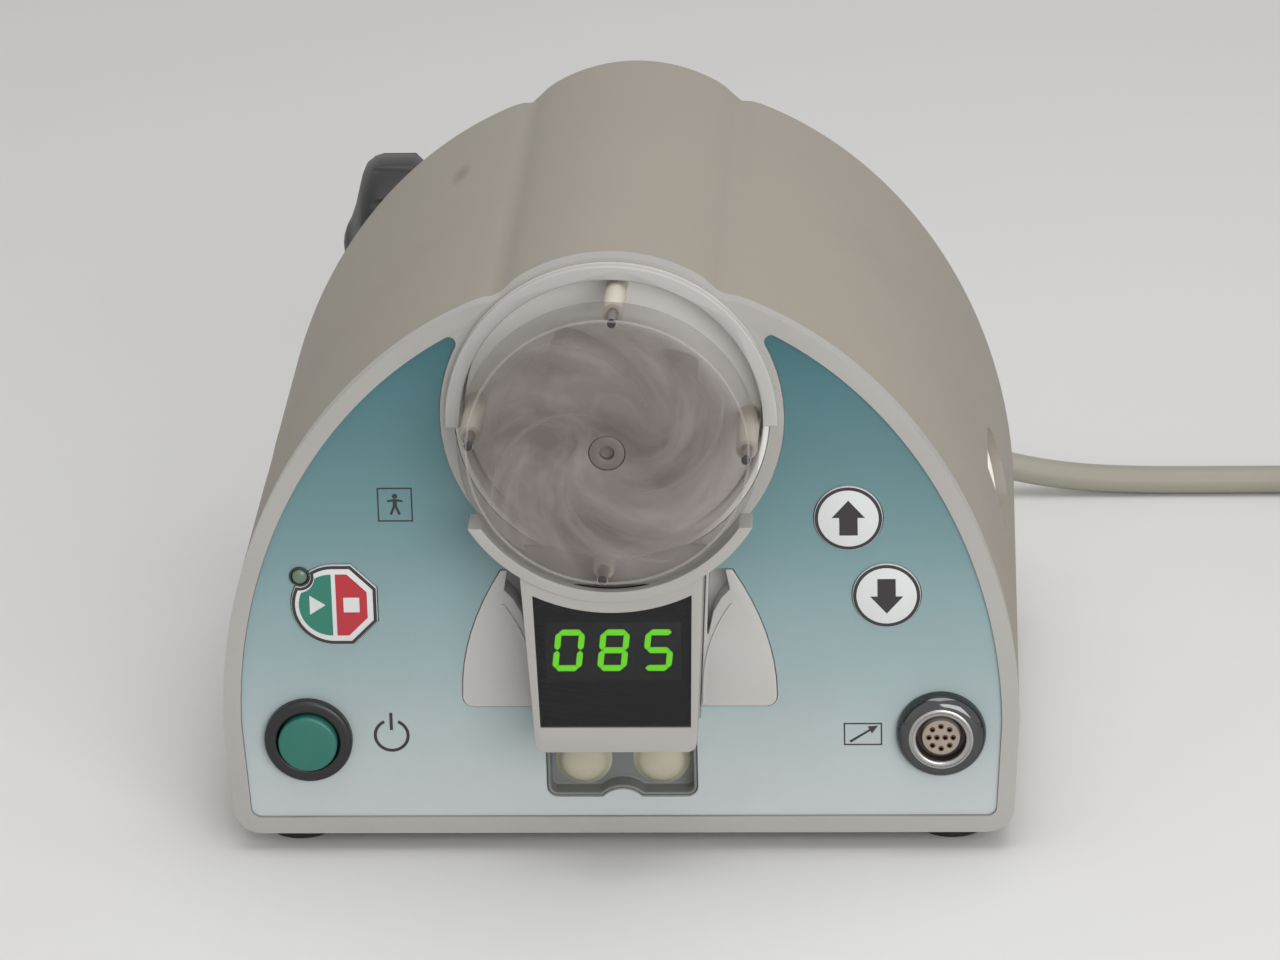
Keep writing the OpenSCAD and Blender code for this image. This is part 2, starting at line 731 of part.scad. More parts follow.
module motor_screws() {
  color("gray") place() for (s = [-1, 1]) {
    cy([14 * s, motor_z], 1.5, plate_y, plate_y + plate_t + 7);
    cy([14 * s, motor_z], 2.8, plate_y - 2, plate_y);
  }
}

module key_boards() {
  color("seagreen") place() {
    box([start_at[0] - 14, board_y, start_at[1] - 16], [start_at[0] + 24, board_y + board_t, start_at[1] + 23]);
    box([up_at[0] - 10.2, board_y, down_at[1] - 14.2], [down_at[0] + 11.2, board_y + board_t, up_at[1] + 8.9]);
    for (p = [start_at, up_at, down_at]) cy(p, 3.5, tact_y, board_y);
  }
}

module control_board() {
  color("seagreen") place() {
    translate([main_x, main_y, plate_top]) {
      box([0, 0, pillar_h], [main_w, main_l, pillar_h + board_t]);
      for (x = [6, main_w - 6], y = [6, main_l - 6]) translate([x, y, 0]) cylinder(r = 3, h = pillar_h);
      box([14, 20, pillar_h + board_t], [main_w / 2 - 2, 38, pillar_h + board_t + 2.4]);
      box([main_w / 2 + 6, 16, pillar_h + board_t], [main_w - 10, 52, pillar_h + board_t + 10.4]);
    }
  }
}

module power_supply() {
  color("silver") place() {
    translate([-supply_w / 2 + 7, supply_y, plate_top]) box([0, 0, 0], [supply_w, supply_l, supply_h]);
  }
}

module transformer() {
  color("peru") place() {
    translate([-core_w / 2 + 14, core_y, plate_top]) {
      box([0, 0, 0], [core_w, core_l, core_h]);
      box([6, 6, core_h], [core_w - 6, core_l - 6, core_h + winding_h]);
    }
  }
}

module switch_body() {
  color("black") place() difference() {
    union() {
      cy(switch_at, switch_r, -3, 0);
      cy(switch_at, barrel_r, 0, 28);
    }
    cy(switch_at, button_r + 0.35, -4, 12);
  }
}

module panel_nuts() {
  color("silver") place() for (p = [switch_at, socket_at]) ty(p, 13, barrel_r + fit, bezel_back, bezel_back + 4);
}

module power_button() {
  color("seagreen") place() {
    cy(switch_at, button_r, -5, 12 - gap - button_travel);
  }
}

module run_stop_key() {
  color("red") place() {
    ext(-0.8, bezel_back) start_shape(0);
    ext(bezel_back + gap, bezel_back + gap + 1) start_shape(1);
    ext(bezel_back, bezel_back + gap) start_shape(-0.5);
    cy(start_at, 3, bezel_back + gap + 1, tact_y - key_travel - 0.1);
  }
}

module arrow_key(p) {
  color("white") place() {
    cy(p, arrow_r, -0.8, bezel_back + gap);
    cy(p, arrow_r + 1.2, bezel_back + gap, bezel_back + gap + 1);
    cy(p, 3, bezel_back + gap + 1, tact_y - key_travel - 0.1);
  }
}
module up_key() { arrow_key(up_at); }
module down_key() { arrow_key(down_at); }

module run_lamp() {
  color("darkolivegreen") place() cy(lamp_at, lamp_r, -0.8, board_y);
}

module connector_shell() {
  color("silver") place() difference() {
    union() {
      cy(socket_at, socket_r, -2.4, 0);
      cy(socket_at, socket_r - 2, -socket_out, -2.4);
      cy(socket_at, barrel_r, 0, 18);
    }
    cy(socket_at, socket_bore_r, -6, socket_floor);
    cy(socket_at, insert_r, socket_floor - 1, socket_floor + insert_l);
  }
}

module connector_insert() {
  color("black") place() difference() {
    cy(socket_at, insert_r - 0.02, socket_floor, socket_floor + insert_l);
    for (i = [0:contact_n - 1])
      cy(socket_at + 4.4 * [cos(360 / contact_n * i), sin(360 / contact_n * i)], 0.7, 0, socket_floor + 5);
    for (s = [-1, 1]) cy(socket_at + [1.5 * s, 0], 0.7, 0, socket_floor + 5);
  }
}

// Opening of a hand grip seen from the side, grown by d: straight in front, round at the back
module grip2d(d) {
  r = grip_h / 2;
  translate([grip_y - d, grip_z - r - d]) square([grip_l - r + d, 2 * (r + d)]);
  translate([grip_y + grip_l - r, grip_z]) circle(r = r + d);
}
module grip_cup(s) {
  floor_x = half_w - grip_deep;
  color("ivory") place() intersection() {
    ext(grip_y - 9, grip_y + grip_l + 9) polygon(outline(-wall));
    difference() {
      ex(s > 0 ? floor_x - grip_wall : -half_w, s > 0 ? half_w : -floor_x + grip_wall) grip2d(grip_wall);
      ex(s > 0 ? floor_x : -half_w - 1, s > 0 ? half_w + 1 : -floor_x) grip2d(0);
    }
  }
}
module grip_cup_left() { grip_cup(-1); }
module grip_cup_right() { grip_cup(1); }

module mains_inlet() {
  color("black") place() difference() {
    union() {
      ext(depth, depth + inlet_out) translate([inlet_x - 25, inlet_z - 13.5]) square([50, 27]);
      ext(cover_end - 16, depth) translate([inlet_x - 14 + fit, inlet_z - 10.5 + fit]) square([28 - 2 * fit, 21 - 2 * fit]);
    }
    ext(depth - 15, depth + inlet_out + 1) translate([inlet_x - 12, inlet_z - 8]) square([24, 16]);
    for (s = [-1, 1]) cy([inlet_x + 20 * s, inlet_z], 1.8, depth - 1, depth + inlet_out + 1);
  }
}

module clamp_bracket() {
  color("darkgray") place() difference() {
    translate([0, 0, clamp_z - clamp_h / 2]) linear_extrude(clamp_h) difference() {
      union() {
        translate([lug_x, depth]) square([lug_x * -1 + saddle_x + saddle_r + 12, 6]);
        translate([lug_x, depth]) square([lug_w, clamp_y + 12]);
        translate([saddle_x, depth]) square([saddle_r + 12, clamp_y + saddle_r + 3]);
      }
      translate([saddle_x, clamp_axis_y]) circle(r = saddle_r);
      translate([saddle_x - saddle_r, depth + 6]) square([saddle_r + 4, 80]);
    }
    cx(clamp_axis_y, clamp_z, screw_r + run, lug_x - 1, lug_x + lug_w + 1);
    for (x = [-26, 24], z = [-10, 10]) cy([x, clamp_z + z], 2.7, depth - 1, depth + 7);
  }
}

module clamp_bolts() {
  color("silver") place() for (x = [-26, 24], z = [-10, 10]) {
    cy([x, clamp_z + z], 2.5, cover_end - 2, depth + 6);
    cy([x, clamp_z + z], 4.5, cover_end - 5, cover_end);
  }
}

module clamp_pad() {
  color("black") place() difference() {
    cx(clamp_axis_y, clamp_z, pad_r, pad_x, pad_x + pad_t);
    cx(clamp_axis_y, clamp_z, tip_r + run, pad_x - 1, pad_x + pad_t - 2);
  }
}

module clamp_screw() {
  color("silver") place() {
    cx(clamp_axis_y, clamp_z, screw_r, knob_x - 12, pad_x - gap);
    cx(clamp_axis_y, clamp_z, tip_r, pad_x - gap, pad_x + pad_t - 2 - gap);
  }
}

module clamp_knob() {
  color("black") place() difference() {
    translate([knob_x, clamp_axis_y, clamp_z]) rotate([0, -90, 0]) rotate_extrude() {
      polygon([[0, 0], [12, 0], [12, 6], [knob_r - 2, 6], [knob_r, 8], [knob_r, knob_l - 13],
        [knob_r - 0.8, knob_l - 10.4], [knob_r - 2.6, knob_l - 8.1], [knob_r - 5.5, knob_l - 6.8],
        [13, knob_l - 4.4], [8.5, knob_l - 2.8], [6, knob_l - 1.4], [3, knob_l - 0.4], [0, knob_l]]);
    }
    for (a = [15:30:345]) translate([0, clamp_axis_y + (knob_r + 2.3) * cos(a), clamp_z + (knob_r + 2.3) * sin(a)])
      rotate([0, 90, 0]) translate([0, 0, knob_x - knob_l - 2]) cylinder(r = 3, h = knob_l + 4);
    cx(clamp_axis_y, clamp_z, screw_r + 0.02, knob_x - 12, knob_x + 1);
  }
}

module casing_screws() {
  color("silver") place() {
    for (p = rear_boss) {
      cy(p, 1.65, depth - rear_t - 14, depth);
      cy(p, 3.8, depth, depth + 2.2);
    }
    for (s = [-1, 1], y = boss_y) translate([s * boss_x, y, 0]) {
      translate([0, 0, bottom_z]) cylinder(r = 1.65, h = base_t + 9);
      translate([0, 0, bottom_z - 2]) cylinder(r = 3.8, h = 2);
    }
  }
}

// Sweep of a round tube along points, closed at both ends
function unit(v) = v / norm(v);
function tang(p, i) =
  i == 0 ? unit(p[1] - p[0]) : i == len(p) - 1 ? unit(p[i] - p[i - 1]) : unit(unit(p[i + 1] - p[i]) + unit(p[i] - p[i - 1]));
function side_of(t) = unit(cross(abs(t[2]) > 0.9 ? [0, 1, 0] : [0, 0, 1], t));
module tube(p, r, n) {
  m = len(p);
  pts = [for (i = [0:m - 1], k = [0:n - 1])
    let (t = tang(p, i), s = side_of(t), u = cross(t, s), a = 360 / n * (k + 0.5))
    p[i] + r * (cos(a) * s + sin(a) * u)];
  faces = concat(
    [for (k = [1:n - 2]) [0, k, k + 1]],
    [for (i = [0:m - 2], k = [0:n - 1]) [i * n + k, (i + 1) * n + k, (i + 1) * n + (k + 1) % n]],
    [for (i = [0:m - 2], k = [0:n - 1]) [i * n + k, (i + 1) * n + (k + 1) % n, i * n + (k + 1) % n]],
    [for (k = [1:n - 2]) [(m - 1) * n, (m - 1) * n + k + 1, (m - 1) * n + k]]);
  polyhedron(points = pts, faces = faces, convexity = 10);
}
// Smooth curve through the chosen points of a route
function cat(a, b, c, d, t) = 0.5 * (2 * b + (c - a) * t + (2 * a - 5 * b + 4 * c - d) * t * t + (3 * b - a - 3 * c + d) * t * t * t);
function route(p, n) = concat(
  [for (i = [0:len(p) - 2], k = [0:n - 1])
    cat(p[max(i - 1, 0)], p[i], p[i + 1], p[min(i + 2, len(p) - 1)], k / n)], [p[len(p) - 1]]);

cord_z = 4.6;
lead_x = 291;
lead_y = cord_y0 + 44;
LEAD = [[inlet_x, cord_y0, inlet_z], [inlet_x, cord_y0 + 3, inlet_z], [inlet_x, cord_y0 + 6, inlet_z],
  [inlet_x + 2.9, cord_y0 + 20.5, 28.6], [inlet_x + 11.1, cord_y0 + 32.9, 24.4],
  [inlet_x + 23.5, cord_y0 + 41.1, 18.6], [104, lead_y, 12.8], [119.5, lead_y, 8.6], [136, lead_y, 6],
  [153, lead_y, 4.9], [170, lead_y, cord_z], [188, lead_y, cord_z], [212, lead_y, cord_z], [238, lead_y, cord_z],
  [265, lead_y, cord_z], [lead_x, lead_y, cord_z]];
coil_turns = 2;
coil_layers = 4;
coil_c = [lead_x + 2 * cord_r, lead_y - coil_r];
coil_end = coil_turns * coil_layers - 0.75;
// Spiral in and out, with a climb in the half turn around each reversal
function fold(u) = let (v = u % (2 * coil_turns)) v < coil_turns ? v : 2 * coil_turns - v;
function soft(x) = let (c = min(max(x, 0), 1)) c * c * (3 - 2 * c);
function climb(u) = soft((u - coil_turns + 0.25) * 2) + soft((u - 2 * coil_turns + 0.25) * 2) + soft((u - 3 * coil_turns + 0.25) * 2);
function coil_pt(u) =
  let (r = coil_r - coil_pitch * fold(u), a = 90 - 360 * u)
  [coil_c[0] + r * cos(a), coil_c[1] + r * sin(a), cord_z + coil_pitch * climb(u)];
coil_mid = [for (u = [0:1 / 24:coil_end + 0.001]) coil_pt(u)];
coil_last = coil_mid[len(coil_mid) - 1];
COIL = concat([coil_mid[0] - [2 * cord_r, 0, 0]], coil_mid, [coil_last - [0, 2 * cord_r, 0]]);
coil_gap = min([for (i = [0:len(coil_mid) - 1], j = [i + 12:1:len(coil_mid) - 1]) norm(coil_mid[i] - coil_mid[j])]) - 2 * cord_r;
echo(coil_least_gap = coil_gap);
tail_a = coil_last - [0, 2 * cord_r, 0];
TAIL = [tail_a, tail_a + [0, -10, 0], tail_a + [0, -34, -1.2], tail_a + [0, -64, -9.6],
  tail_a + [0, -94, -19.6], tail_a + [0, -118, -24.6], tail_a + [0, -125, -24.6], tail_a + [0, -132, -24.6]];
tail_end = TAIL[len(TAIL) - 1];

module cord_connector() {
  color("black") place() difference() {
    union() {
      ext(depth + inlet_out, depth + inlet_out + conn_len) translate([inlet_x - 14, inlet_z - 10]) square([28, 20]);
      ext(depth - 12, depth + inlet_out) translate([inlet_x - 12 + fit, inlet_z - 8 + fit]) square([24 - 2 * fit, 16 - 2 * fit]);
      translate([inlet_x, cord_y0, inlet_z]) rotate([90, 0, 0]) cylinder(r1 = cord_r + 1.2, r2 = 9, h = relief_len);
    }
  }
}

module mains_cord() { color("tan") place() tube(route(LEAD, 3), cord_r, 10); }
module cord_coil() { color("tan") place() tube(COIL, cord_r, 6); }
module cord_tail() { color("tan") place() tube(route(TAIL, 3), cord_r, 10); }

module mains_plug() {
  color("black") place() translate(tail_end) mirror([0, 1, 0]) {
    rotate([-90, 0, 0]) cylinder(r1 = cord_r + 1, r2 = 8, h = 16);
    translate([-14, 16, -9]) cube([28, 26, 18]);
    for (s = [-1, 1]) translate([6.35 * s - 0.8, 42, -1]) cube([1.6, 17, 6]);
    translate([0, 42, -5]) rotate([-90, 0, 0]) cylinder(r = 2.4, h = 19);
  }
}

front_bezel();
main_cover();
rear_panel();
base_plate();
rubber_feet();
panel_overlay();
tube_guides();
display_hood();
display_window();
display_module();
display_digits();
sensor_recess();
sensor_pads();
pump_cup();
front_bearing();
rear_bearing();
rotor_disc();
rotor_hub();
rotor_back_plate();
roller_1();
roller_2();
roller_3();
roller_4();
roller_axles();
hub_screw();
rotor_shaft();
drive_gear();
motor_pinion();
drive_motor();
gear_plate();
standoffs();
motor_screws();
key_boards();
control_board();
power_supply();
transformer();
switch_body();
panel_nuts();
power_button();
run_stop_key();
up_key();
down_key();
run_lamp();
connector_shell();
connector_insert();
grip_cup_left();
grip_cup_right();
mains_inlet();
clamp_bracket();
clamp_bolts();
clamp_pad();
clamp_screw();
clamp_knob();
casing_screws();
cord_connector();
mains_cord();
cord_coil();
cord_tail();
mains_plug();
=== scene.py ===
# %% [markdown]
# A bench-top roller pump, dressed for a photograph. The solids come packed from the CAD source and
# stay where they are. This lesson adds what a solid can't show: rounded plastic edges, printed film,
# clear acrylic, a bendable lead, dust, grain and light. Lengths are written in millimetres in
# the panel's own frame (X to the right, Y into the casing, Z up) and turned into metres in one place.

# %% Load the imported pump
import bpy
import bmesh
import json
import math
from mathutils import Vector, Matrix

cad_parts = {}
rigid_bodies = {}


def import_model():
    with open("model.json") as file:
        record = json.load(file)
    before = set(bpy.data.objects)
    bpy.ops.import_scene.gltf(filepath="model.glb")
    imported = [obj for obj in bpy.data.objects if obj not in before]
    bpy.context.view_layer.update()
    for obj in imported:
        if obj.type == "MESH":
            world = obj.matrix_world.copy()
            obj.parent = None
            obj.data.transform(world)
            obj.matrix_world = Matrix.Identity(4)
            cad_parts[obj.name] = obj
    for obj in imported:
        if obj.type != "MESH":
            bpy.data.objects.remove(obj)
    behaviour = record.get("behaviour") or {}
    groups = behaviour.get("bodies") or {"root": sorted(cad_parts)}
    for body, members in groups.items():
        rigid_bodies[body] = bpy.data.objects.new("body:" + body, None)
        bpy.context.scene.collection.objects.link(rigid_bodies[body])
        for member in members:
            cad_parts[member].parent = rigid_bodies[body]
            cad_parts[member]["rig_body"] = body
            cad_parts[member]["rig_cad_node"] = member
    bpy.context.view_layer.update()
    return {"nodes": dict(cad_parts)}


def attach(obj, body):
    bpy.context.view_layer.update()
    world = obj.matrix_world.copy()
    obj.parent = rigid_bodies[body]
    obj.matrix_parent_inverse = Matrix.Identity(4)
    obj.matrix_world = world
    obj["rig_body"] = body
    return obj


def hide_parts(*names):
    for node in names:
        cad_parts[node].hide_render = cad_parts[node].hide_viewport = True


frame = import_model()
solids = frame["nodes"]
PANEL_Y = -100.0


def at(x, y, z):
    return Vector((x, y + PANEL_Y, z)) / 1000


# %% [markdown]
# The camera comes first, because what it sees of the lead is measured. The photograph was taken with a
# long lens from a little to the right of the middle and about 22 degrees above the table, with the
# camera turned by one and a half degrees. Its place is written as a turn around a point on the panel.

# %% Camera
AIM, DISTANCE, LENS, SENSOR = at(7.44, 0, 115.9), 1.731, 172.2, 36
azimuth, elevation, roll = map(math.radians, (3.261, 22.517, 1.534))
back = Vector((math.sin(azimuth) * math.cos(elevation),
               -math.cos(azimuth) * math.cos(elevation),
               math.sin(elevation)))
right = (-back).cross(Vector((0, 0, 1))).normalized()
up = right.cross(-back)
right, up = (right * math.cos(roll) - up * math.sin(roll),
             right * math.sin(roll) + up * math.cos(roll))
camera = bpy.data.objects.new("camera", bpy.data.cameras.new("camera"))
bpy.context.scene.collection.objects.link(camera)
turned_to = Matrix((right, up, back)).transposed().to_4x4()
camera.matrix_world = Matrix.Translation(AIM + back * DISTANCE) @ turned_to
camera.data.lens = LENS
camera.data.sensor_width = SENSOR
bpy.context.scene.camera = camera
print("camera at", [round(v, 3) for v in camera.matrix_world.translation])

# %% [markdown]
# Small helpers that do what a hand does in the window: clear the selection, go into edit mode, pick
# edges by their place, and settle a finished piece so that its place is in its mesh and it moves with
# the right body. Every meshed piece of the pump below goes through settle().

# %% Helpers for modelling
def clear():
    if bpy.context.object and bpy.context.object.mode != "OBJECT":
        bpy.ops.object.mode_set(mode="OBJECT")
    bpy.ops.object.select_all(action="DESELECT")


def take(piece):
    clear()
    piece.select_set(True)
    bpy.context.view_layer.objects.active = piece


def edit(piece, mode="VERT"):
    take(piece)
    bpy.ops.object.mode_set(mode="EDIT")
    bpy.ops.mesh.select_mode(type=mode)


def done():
    bpy.ops.object.mode_set(mode="OBJECT")


def pick_edges(piece, test):
    """Selects, in edit mode, the edges that pass test(middle in panel mm, both normals, edge)."""
    edit(piece, "EDGE")
    bpy.ops.mesh.select_all(action="DESELECT")
    mesh = bmesh.from_edit_mesh(piece.data)
    count = 0
    for e in mesh.edges:
        if len(e.link_faces) == 2:
            m = (e.verts[0].co + e.verts[1].co) * 500
            if test(Vector((m.x, m.y - PANEL_Y, m.z)), [f.normal for f in e.link_faces], e):
                e.select_set(True)
                count += 1
    bmesh.update_edit_mesh(piece.data)
    return count


def settle(piece, body, finish, slot, *stands_for, smooth=35):
    take(piece)
    bpy.ops.object.transform_apply(location=True, rotation=True, scale=True)
    bpy.ops.object.shade_smooth_by_angle(angle=math.radians(smooth))
    piece.data.materials.clear()
    piece.data.materials.append(finish)
    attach(piece, body)
    if stands_for:
        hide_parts(*stands_for)
    return piece


print("helpers ready")

# %% [markdown]
# The route of the mains lead is one smooth open line: out of the connector at the back, a quarter turn
# to the right, down to the table, then into a tied coil beside the pump, with the wall plug in front of
# the coil. It repeats the route of the CAD lead point by point. The lead itself is laid further down.

# %% Route of the mains lead
LEAD_R = 4.5
ON_TABLE = 4.6
COIL_X, COIL_Y, COIL_R, COIL_STEP = 300, 204, 62, 9.7
COIL_PARTS, COIL_POINTS = 24, 175
lead_points = [(66, 222, 30), (66, 225, 30), (66, 228, 30), (68.9, 242.5, 28.6),
               (77.1, 254.9, 24.4), (89.5, 263.1, 18.6), (104, 266, 12.8), (119.5, 266, 8.6),
               (136, 266, 6), (153, 266, 4.9)]
lead_points += [(x, 266, ON_TABLE) for x in (170, 188, 212, 238, 265, 291)]


def soft(x):
    c = min(max(x, 0), 1)
    return c * c * (3 - 2 * c)


def coil_point(u):
    v = u % 4
    r = COIL_R - COIL_STEP * (v if v < 2 else 4 - v)
    a = math.radians(90 - 360 * u)
    climb = soft((u - 1.75) * 2) + soft((u - 3.75) * 2) + soft((u - 5.75) * 2)
    return (COIL_X + r * math.cos(a), COIL_Y + r * math.sin(a), ON_TABLE + COIL_STEP * climb)


coil_points = [coil_point(i / COIL_PARTS) for i in range(COIL_POINTS)]
x, y, z = coil_points[-1][0], coil_points[-1][1] - 9, coil_points[-1][2]
tail_drop = ((0, 0), (10, 0), (34, 1.2), (64, 9.6), (94, 19.6), (118, 24.6), (125, 24.6), (132, 24.6))
tail_points = [(x, y - run, z - drop) for run, drop in tail_drop]
route = [at(*p) for p in lead_points + coil_points + tail_points]

# %% [markdown]
# Finishes are built from a few kinds of nodes. These helpers add a node with its values, spread a value
# over a new range, multiply two values and mix two colours. A number or colour is put on the socket
# itself, and an output of another node is linked to it.

# %% Helpers for finishes
def add(tree, kind, **values):
    n = tree.nodes.new(kind)
    for key, value in values.items():
        if key in n.inputs:
            n.inputs[key].default_value = value
        else:
            setattr(n, key, value)
    return n


def feed(tree, socket, value):
    if isinstance(value, bpy.types.NodeSocket):
        tree.links.new(value, socket)
    else:
        socket.default_value = value


def own_place(tree):
    return add(tree, "ShaderNodeTexCoord").outputs["Object"]


def noise(tree, vector, **values):
    n = add(tree, "ShaderNodeTexNoise", **values)
    tree.links.new(vector, n.inputs["Vector"])
    return n


def remap(tree, value, low, high, to_low=0.0, to_high=1.0):
    n = add(tree, "ShaderNodeMapRange")
    for socket, number in zip(("From Min", "From Max", "To Min", "To Max"), (low, high, to_low, to_high)):
        n.inputs[socket].default_value = number
    tree.links.new(value, n.inputs["Value"])
    return n.outputs["Result"]


def math_of(tree, operation, a, b):
    n = add(tree, "ShaderNodeMath", operation=operation)
    feed(tree, n.inputs[0], a)
    feed(tree, n.inputs[1], b)
    return n.outputs[0]


def length_of(tree, vector):
    n = add(tree, "ShaderNodeVectorMath", operation="LENGTH")
    tree.links.new(vector, n.inputs[0])
    return n.outputs["Value"]


FACTOR, FIRST, SECOND, MIXED = 0, 6, 7, 2  # sockets of a mix node that works on colours


def mix(tree, factor, first, second, **values):
    n = add(tree, "ShaderNodeMix", data_type="RGBA", **values)
    for socket, value in ((FACTOR, factor), (FIRST, first), (SECOND, second)):
        feed(tree, n.inputs[socket], value)
    return n.outputs[MIXED]


print("node helpers ready")

# %% [markdown]
# Two effects are shared by nearly every surface, so each is a node group: the fine grain of moulded
# plastic with its slow changes of tone, and the soil of use, which is a mask of dust and smears with
# short scuffs in it. Each material keeps its own shader and puts its own constants on it.

# %% Shared effects: grain and soil
def group(name, inputs, outputs):
    tree = bpy.data.node_groups.new(name, "ShaderNodeTree")
    for label, value in inputs:
        socket = tree.interface.new_socket(name=label, in_out="INPUT", socket_type="NodeSocketFloat")
        socket.default_value = value
    for label in outputs:
        tree.interface.new_socket(name=label, in_out="OUTPUT", socket_type="NodeSocketFloat")
    return tree, tree.nodes.new("NodeGroupInput"), tree.nodes.new("NodeGroupOutput")


grain, given, out = group("moulded_grain", [("Scale", 900.0), ("Slow Scale", 14.0)], ["Height", "Tone"])
place = own_place(grain)
fine = noise(grain, place, Detail=3.0, Roughness=0.6)
slow = noise(grain, place, Detail=4.0, Roughness=0.55)
for node, socket, result in ((fine, "Scale", "Height"), (slow, "Slow Scale", "Tone")):
    grain.links.new(given.outputs[socket], node.inputs["Scale"])
    grain.links.new(node.outputs["Fac"], out.inputs[result])

soil, given, out = group("soil_of_use", [("Amount", 0.5), ("Scale", 9.0)], ["Mask", "Scuffs"])
place = own_place(soil)
cloud = noise(soil, place, Detail=6.0, Roughness=0.65)
soil.links.new(given.outputs["Scale"], cloud.inputs["Scale"])
mask = math_of(soil, "MULTIPLY", remap(soil, cloud.outputs["Fac"], 0.5, 0.78), given.outputs["Amount"])
soil.links.new(mask, out.inputs["Mask"])
stretch = add(soil, "ShaderNodeMapping", Rotation=(0.5, 0.9, 0.4), Scale=(30, 190, 55))
soil.links.new(place, stretch.inputs["Vector"])
streak = noise(soil, stretch.outputs["Vector"], Scale=1.0, Detail=2.0, Roughness=0.5)
scuffs = math_of(soil, "MULTIPLY", remap(soil, streak.outputs["Fac"], 0.7, 0.76), mask)
soil.links.new(scuffs, out.inputs["Scuffs"])
print("groups:", [g.name for g in bpy.data.node_groups])

# %% [markdown]
# One function lays these effects under a plastic, rubber or metal shader. The two colours are the
# tone's light and dark end, given as they look on a screen and turned into scene values. Grain goes
# into a bump, tone into colour and roughness, soil tints the surface and scuffs lighten it a little.

# %% One way to make a moulded or metal finish
def screen(*colour):
    return tuple(((c / 255 + 0.055) / 1.055) ** 2.4 if c > 10 else c / 255 / 12.92 for c in colour) + (1.0,)


def surface(name, light, dark, rough, bump=0.1, scale=900.0, dirt=0.3, dirt_colour=(96, 90, 80), metallic=0.0):
    """rough is one value, spread a little by the tone, or a pair of its lowest and highest value."""
    m = bpy.data.materials.new(name)
    m.use_nodes = True
    t = m.node_tree
    shader = t.nodes["Principled BSDF"]
    g = add(t, "ShaderNodeGroup", node_tree=grain, Scale=scale)
    s = add(t, "ShaderNodeGroup", node_tree=soil, Amount=dirt)
    tone = mix(t, g.outputs["Tone"], screen(*dark), screen(*light), name="tone")
    dirty = mix(t, s.outputs["Mask"], tone, screen(*dirt_colour), name="dirty")
    rubbed = screen(*[min(c * 1.12, 250) for c in light])
    worn = mix(t, s.outputs["Scuffs"], dirty, rubbed, name="worn")
    t.links.new(worn, shader.inputs["Base Color"])
    low, high = rough if isinstance(rough, tuple) else (rough * 0.85, min(rough * 1.2, 1))
    t.links.new(remap(t, g.outputs["Tone"], 0, 1, low, high), shader.inputs["Roughness"])
    if bump:
        b = add(t, "ShaderNodeBump", Strength=bump, Distance=0.0002)
        t.links.new(g.outputs["Height"], b.inputs["Height"])
        t.links.new(b.outputs["Normal"], shader.inputs["Normal"])
    shader.inputs["Metallic"].default_value = metallic
    return m


print("surface ready")

# %% [markdown]
# The plastics, rubbers and inks. The cover has a coarse spark-eroded grain, the bezel and the pump head
# are smoother and paler, and everything that hands touch carries a little more soil.

# %% Plastics, rubbers and inks
cover_plastic = surface("cover_plastic", (156, 149, 137), (146, 139, 128), 0.55, 0.35, 1400, 0.22, (120, 108, 98))
bezel_plastic = surface("bezel_plastic", (172, 170, 166), (162, 159, 155), 0.34, 0.1, 900, 0.16, (140, 130, 120))
ivory_plastic = surface("ivory_plastic", (190, 188, 185), (178, 176, 173), 0.4, 0.1, 700, 0.22, (170, 160, 150))
cup_plastic = surface("cup_plastic", (186, 184, 181), (176, 174, 171), 0.36, 0.1, 900, 0.2, (160, 150, 142))
roller_plastic = surface("roller_plastic", (212, 205, 190), (202, 194, 178), 0.4, 0.08, 900, 0.1)
# Painted light: the grips are ivory plastic set much paler than the other ivory, standing in for light inside their
# self-shadowed recesses.
grip_ivory_painted_light = surface("grip_ivory_painted_light", (246, 244, 236), (238, 235, 226), 0.4, 0.1, 700, 0.1, (190, 180, 168))
hub_plastic = surface("hub_plastic", (112, 103, 98), (90, 82, 78), 0.35, 0.1, 500, 0.3, (84, 76, 72))
# Painted light: the rotor's back plate is pale plastic, set paler still to stand in for light in the shaded back of
# the cup.
back_plastic_painted_light = surface("back_plastic_painted_light", (234, 232, 228), (226, 224, 220), 0.45, 0.1, 600, 0.3, (120, 112, 108))
black_plastic = surface("black_plastic", (30, 30, 31), (20, 20, 21), 0.32, 0.12, 900, 0.25, (70, 68, 66))
grip_black = surface("grip_black", (30, 27, 28), (22, 20, 21), 0.42, 0.25, 600, 0.3, (88, 84, 82))
black_module = surface("black_module", (10, 11, 11), (7, 8, 8), 0.45, 0.05, 700, 0.1)
# Painted shade: a dark brown that stands in for the shadowed gap around the socket's insert.
painted_gap_shade = surface("painted_gap_shade", (50, 37, 36), (36, 26, 26), 0.45, 0.05, 700, 0.2)
insert_plastic = surface("insert_plastic", (162, 149, 138), (148, 136, 126), 0.5, 0.1, 900, 0.25, (110, 92, 80))
button_green = surface("button_green", (38, 112, 98), (30, 98, 86), 0.35, 0.2, 900, 0.25, (90, 130, 124))
lamp_lens = surface("lamp_lens", (104, 128, 110), (84, 106, 90), 0.2, 0.0, 900, 0.2)
nylon = surface("nylon", (226, 218, 198), (212, 202, 180), 0.5, 0.1, 700, 0.15)
foot_rubber = surface("foot_rubber", (38, 38, 38), (26, 26, 26), 0.85, 0.4, 700, 0.5, (110, 106, 100))
dome_rubber = surface("dome_rubber", (186, 181, 160), (176, 171, 150), 0.5, 0.05, 500, 0.15)
soft_grey = surface("soft_grey", (118, 122, 120), (106, 110, 108), 0.42, 0.1, 700, 0.3, (90, 94, 94))
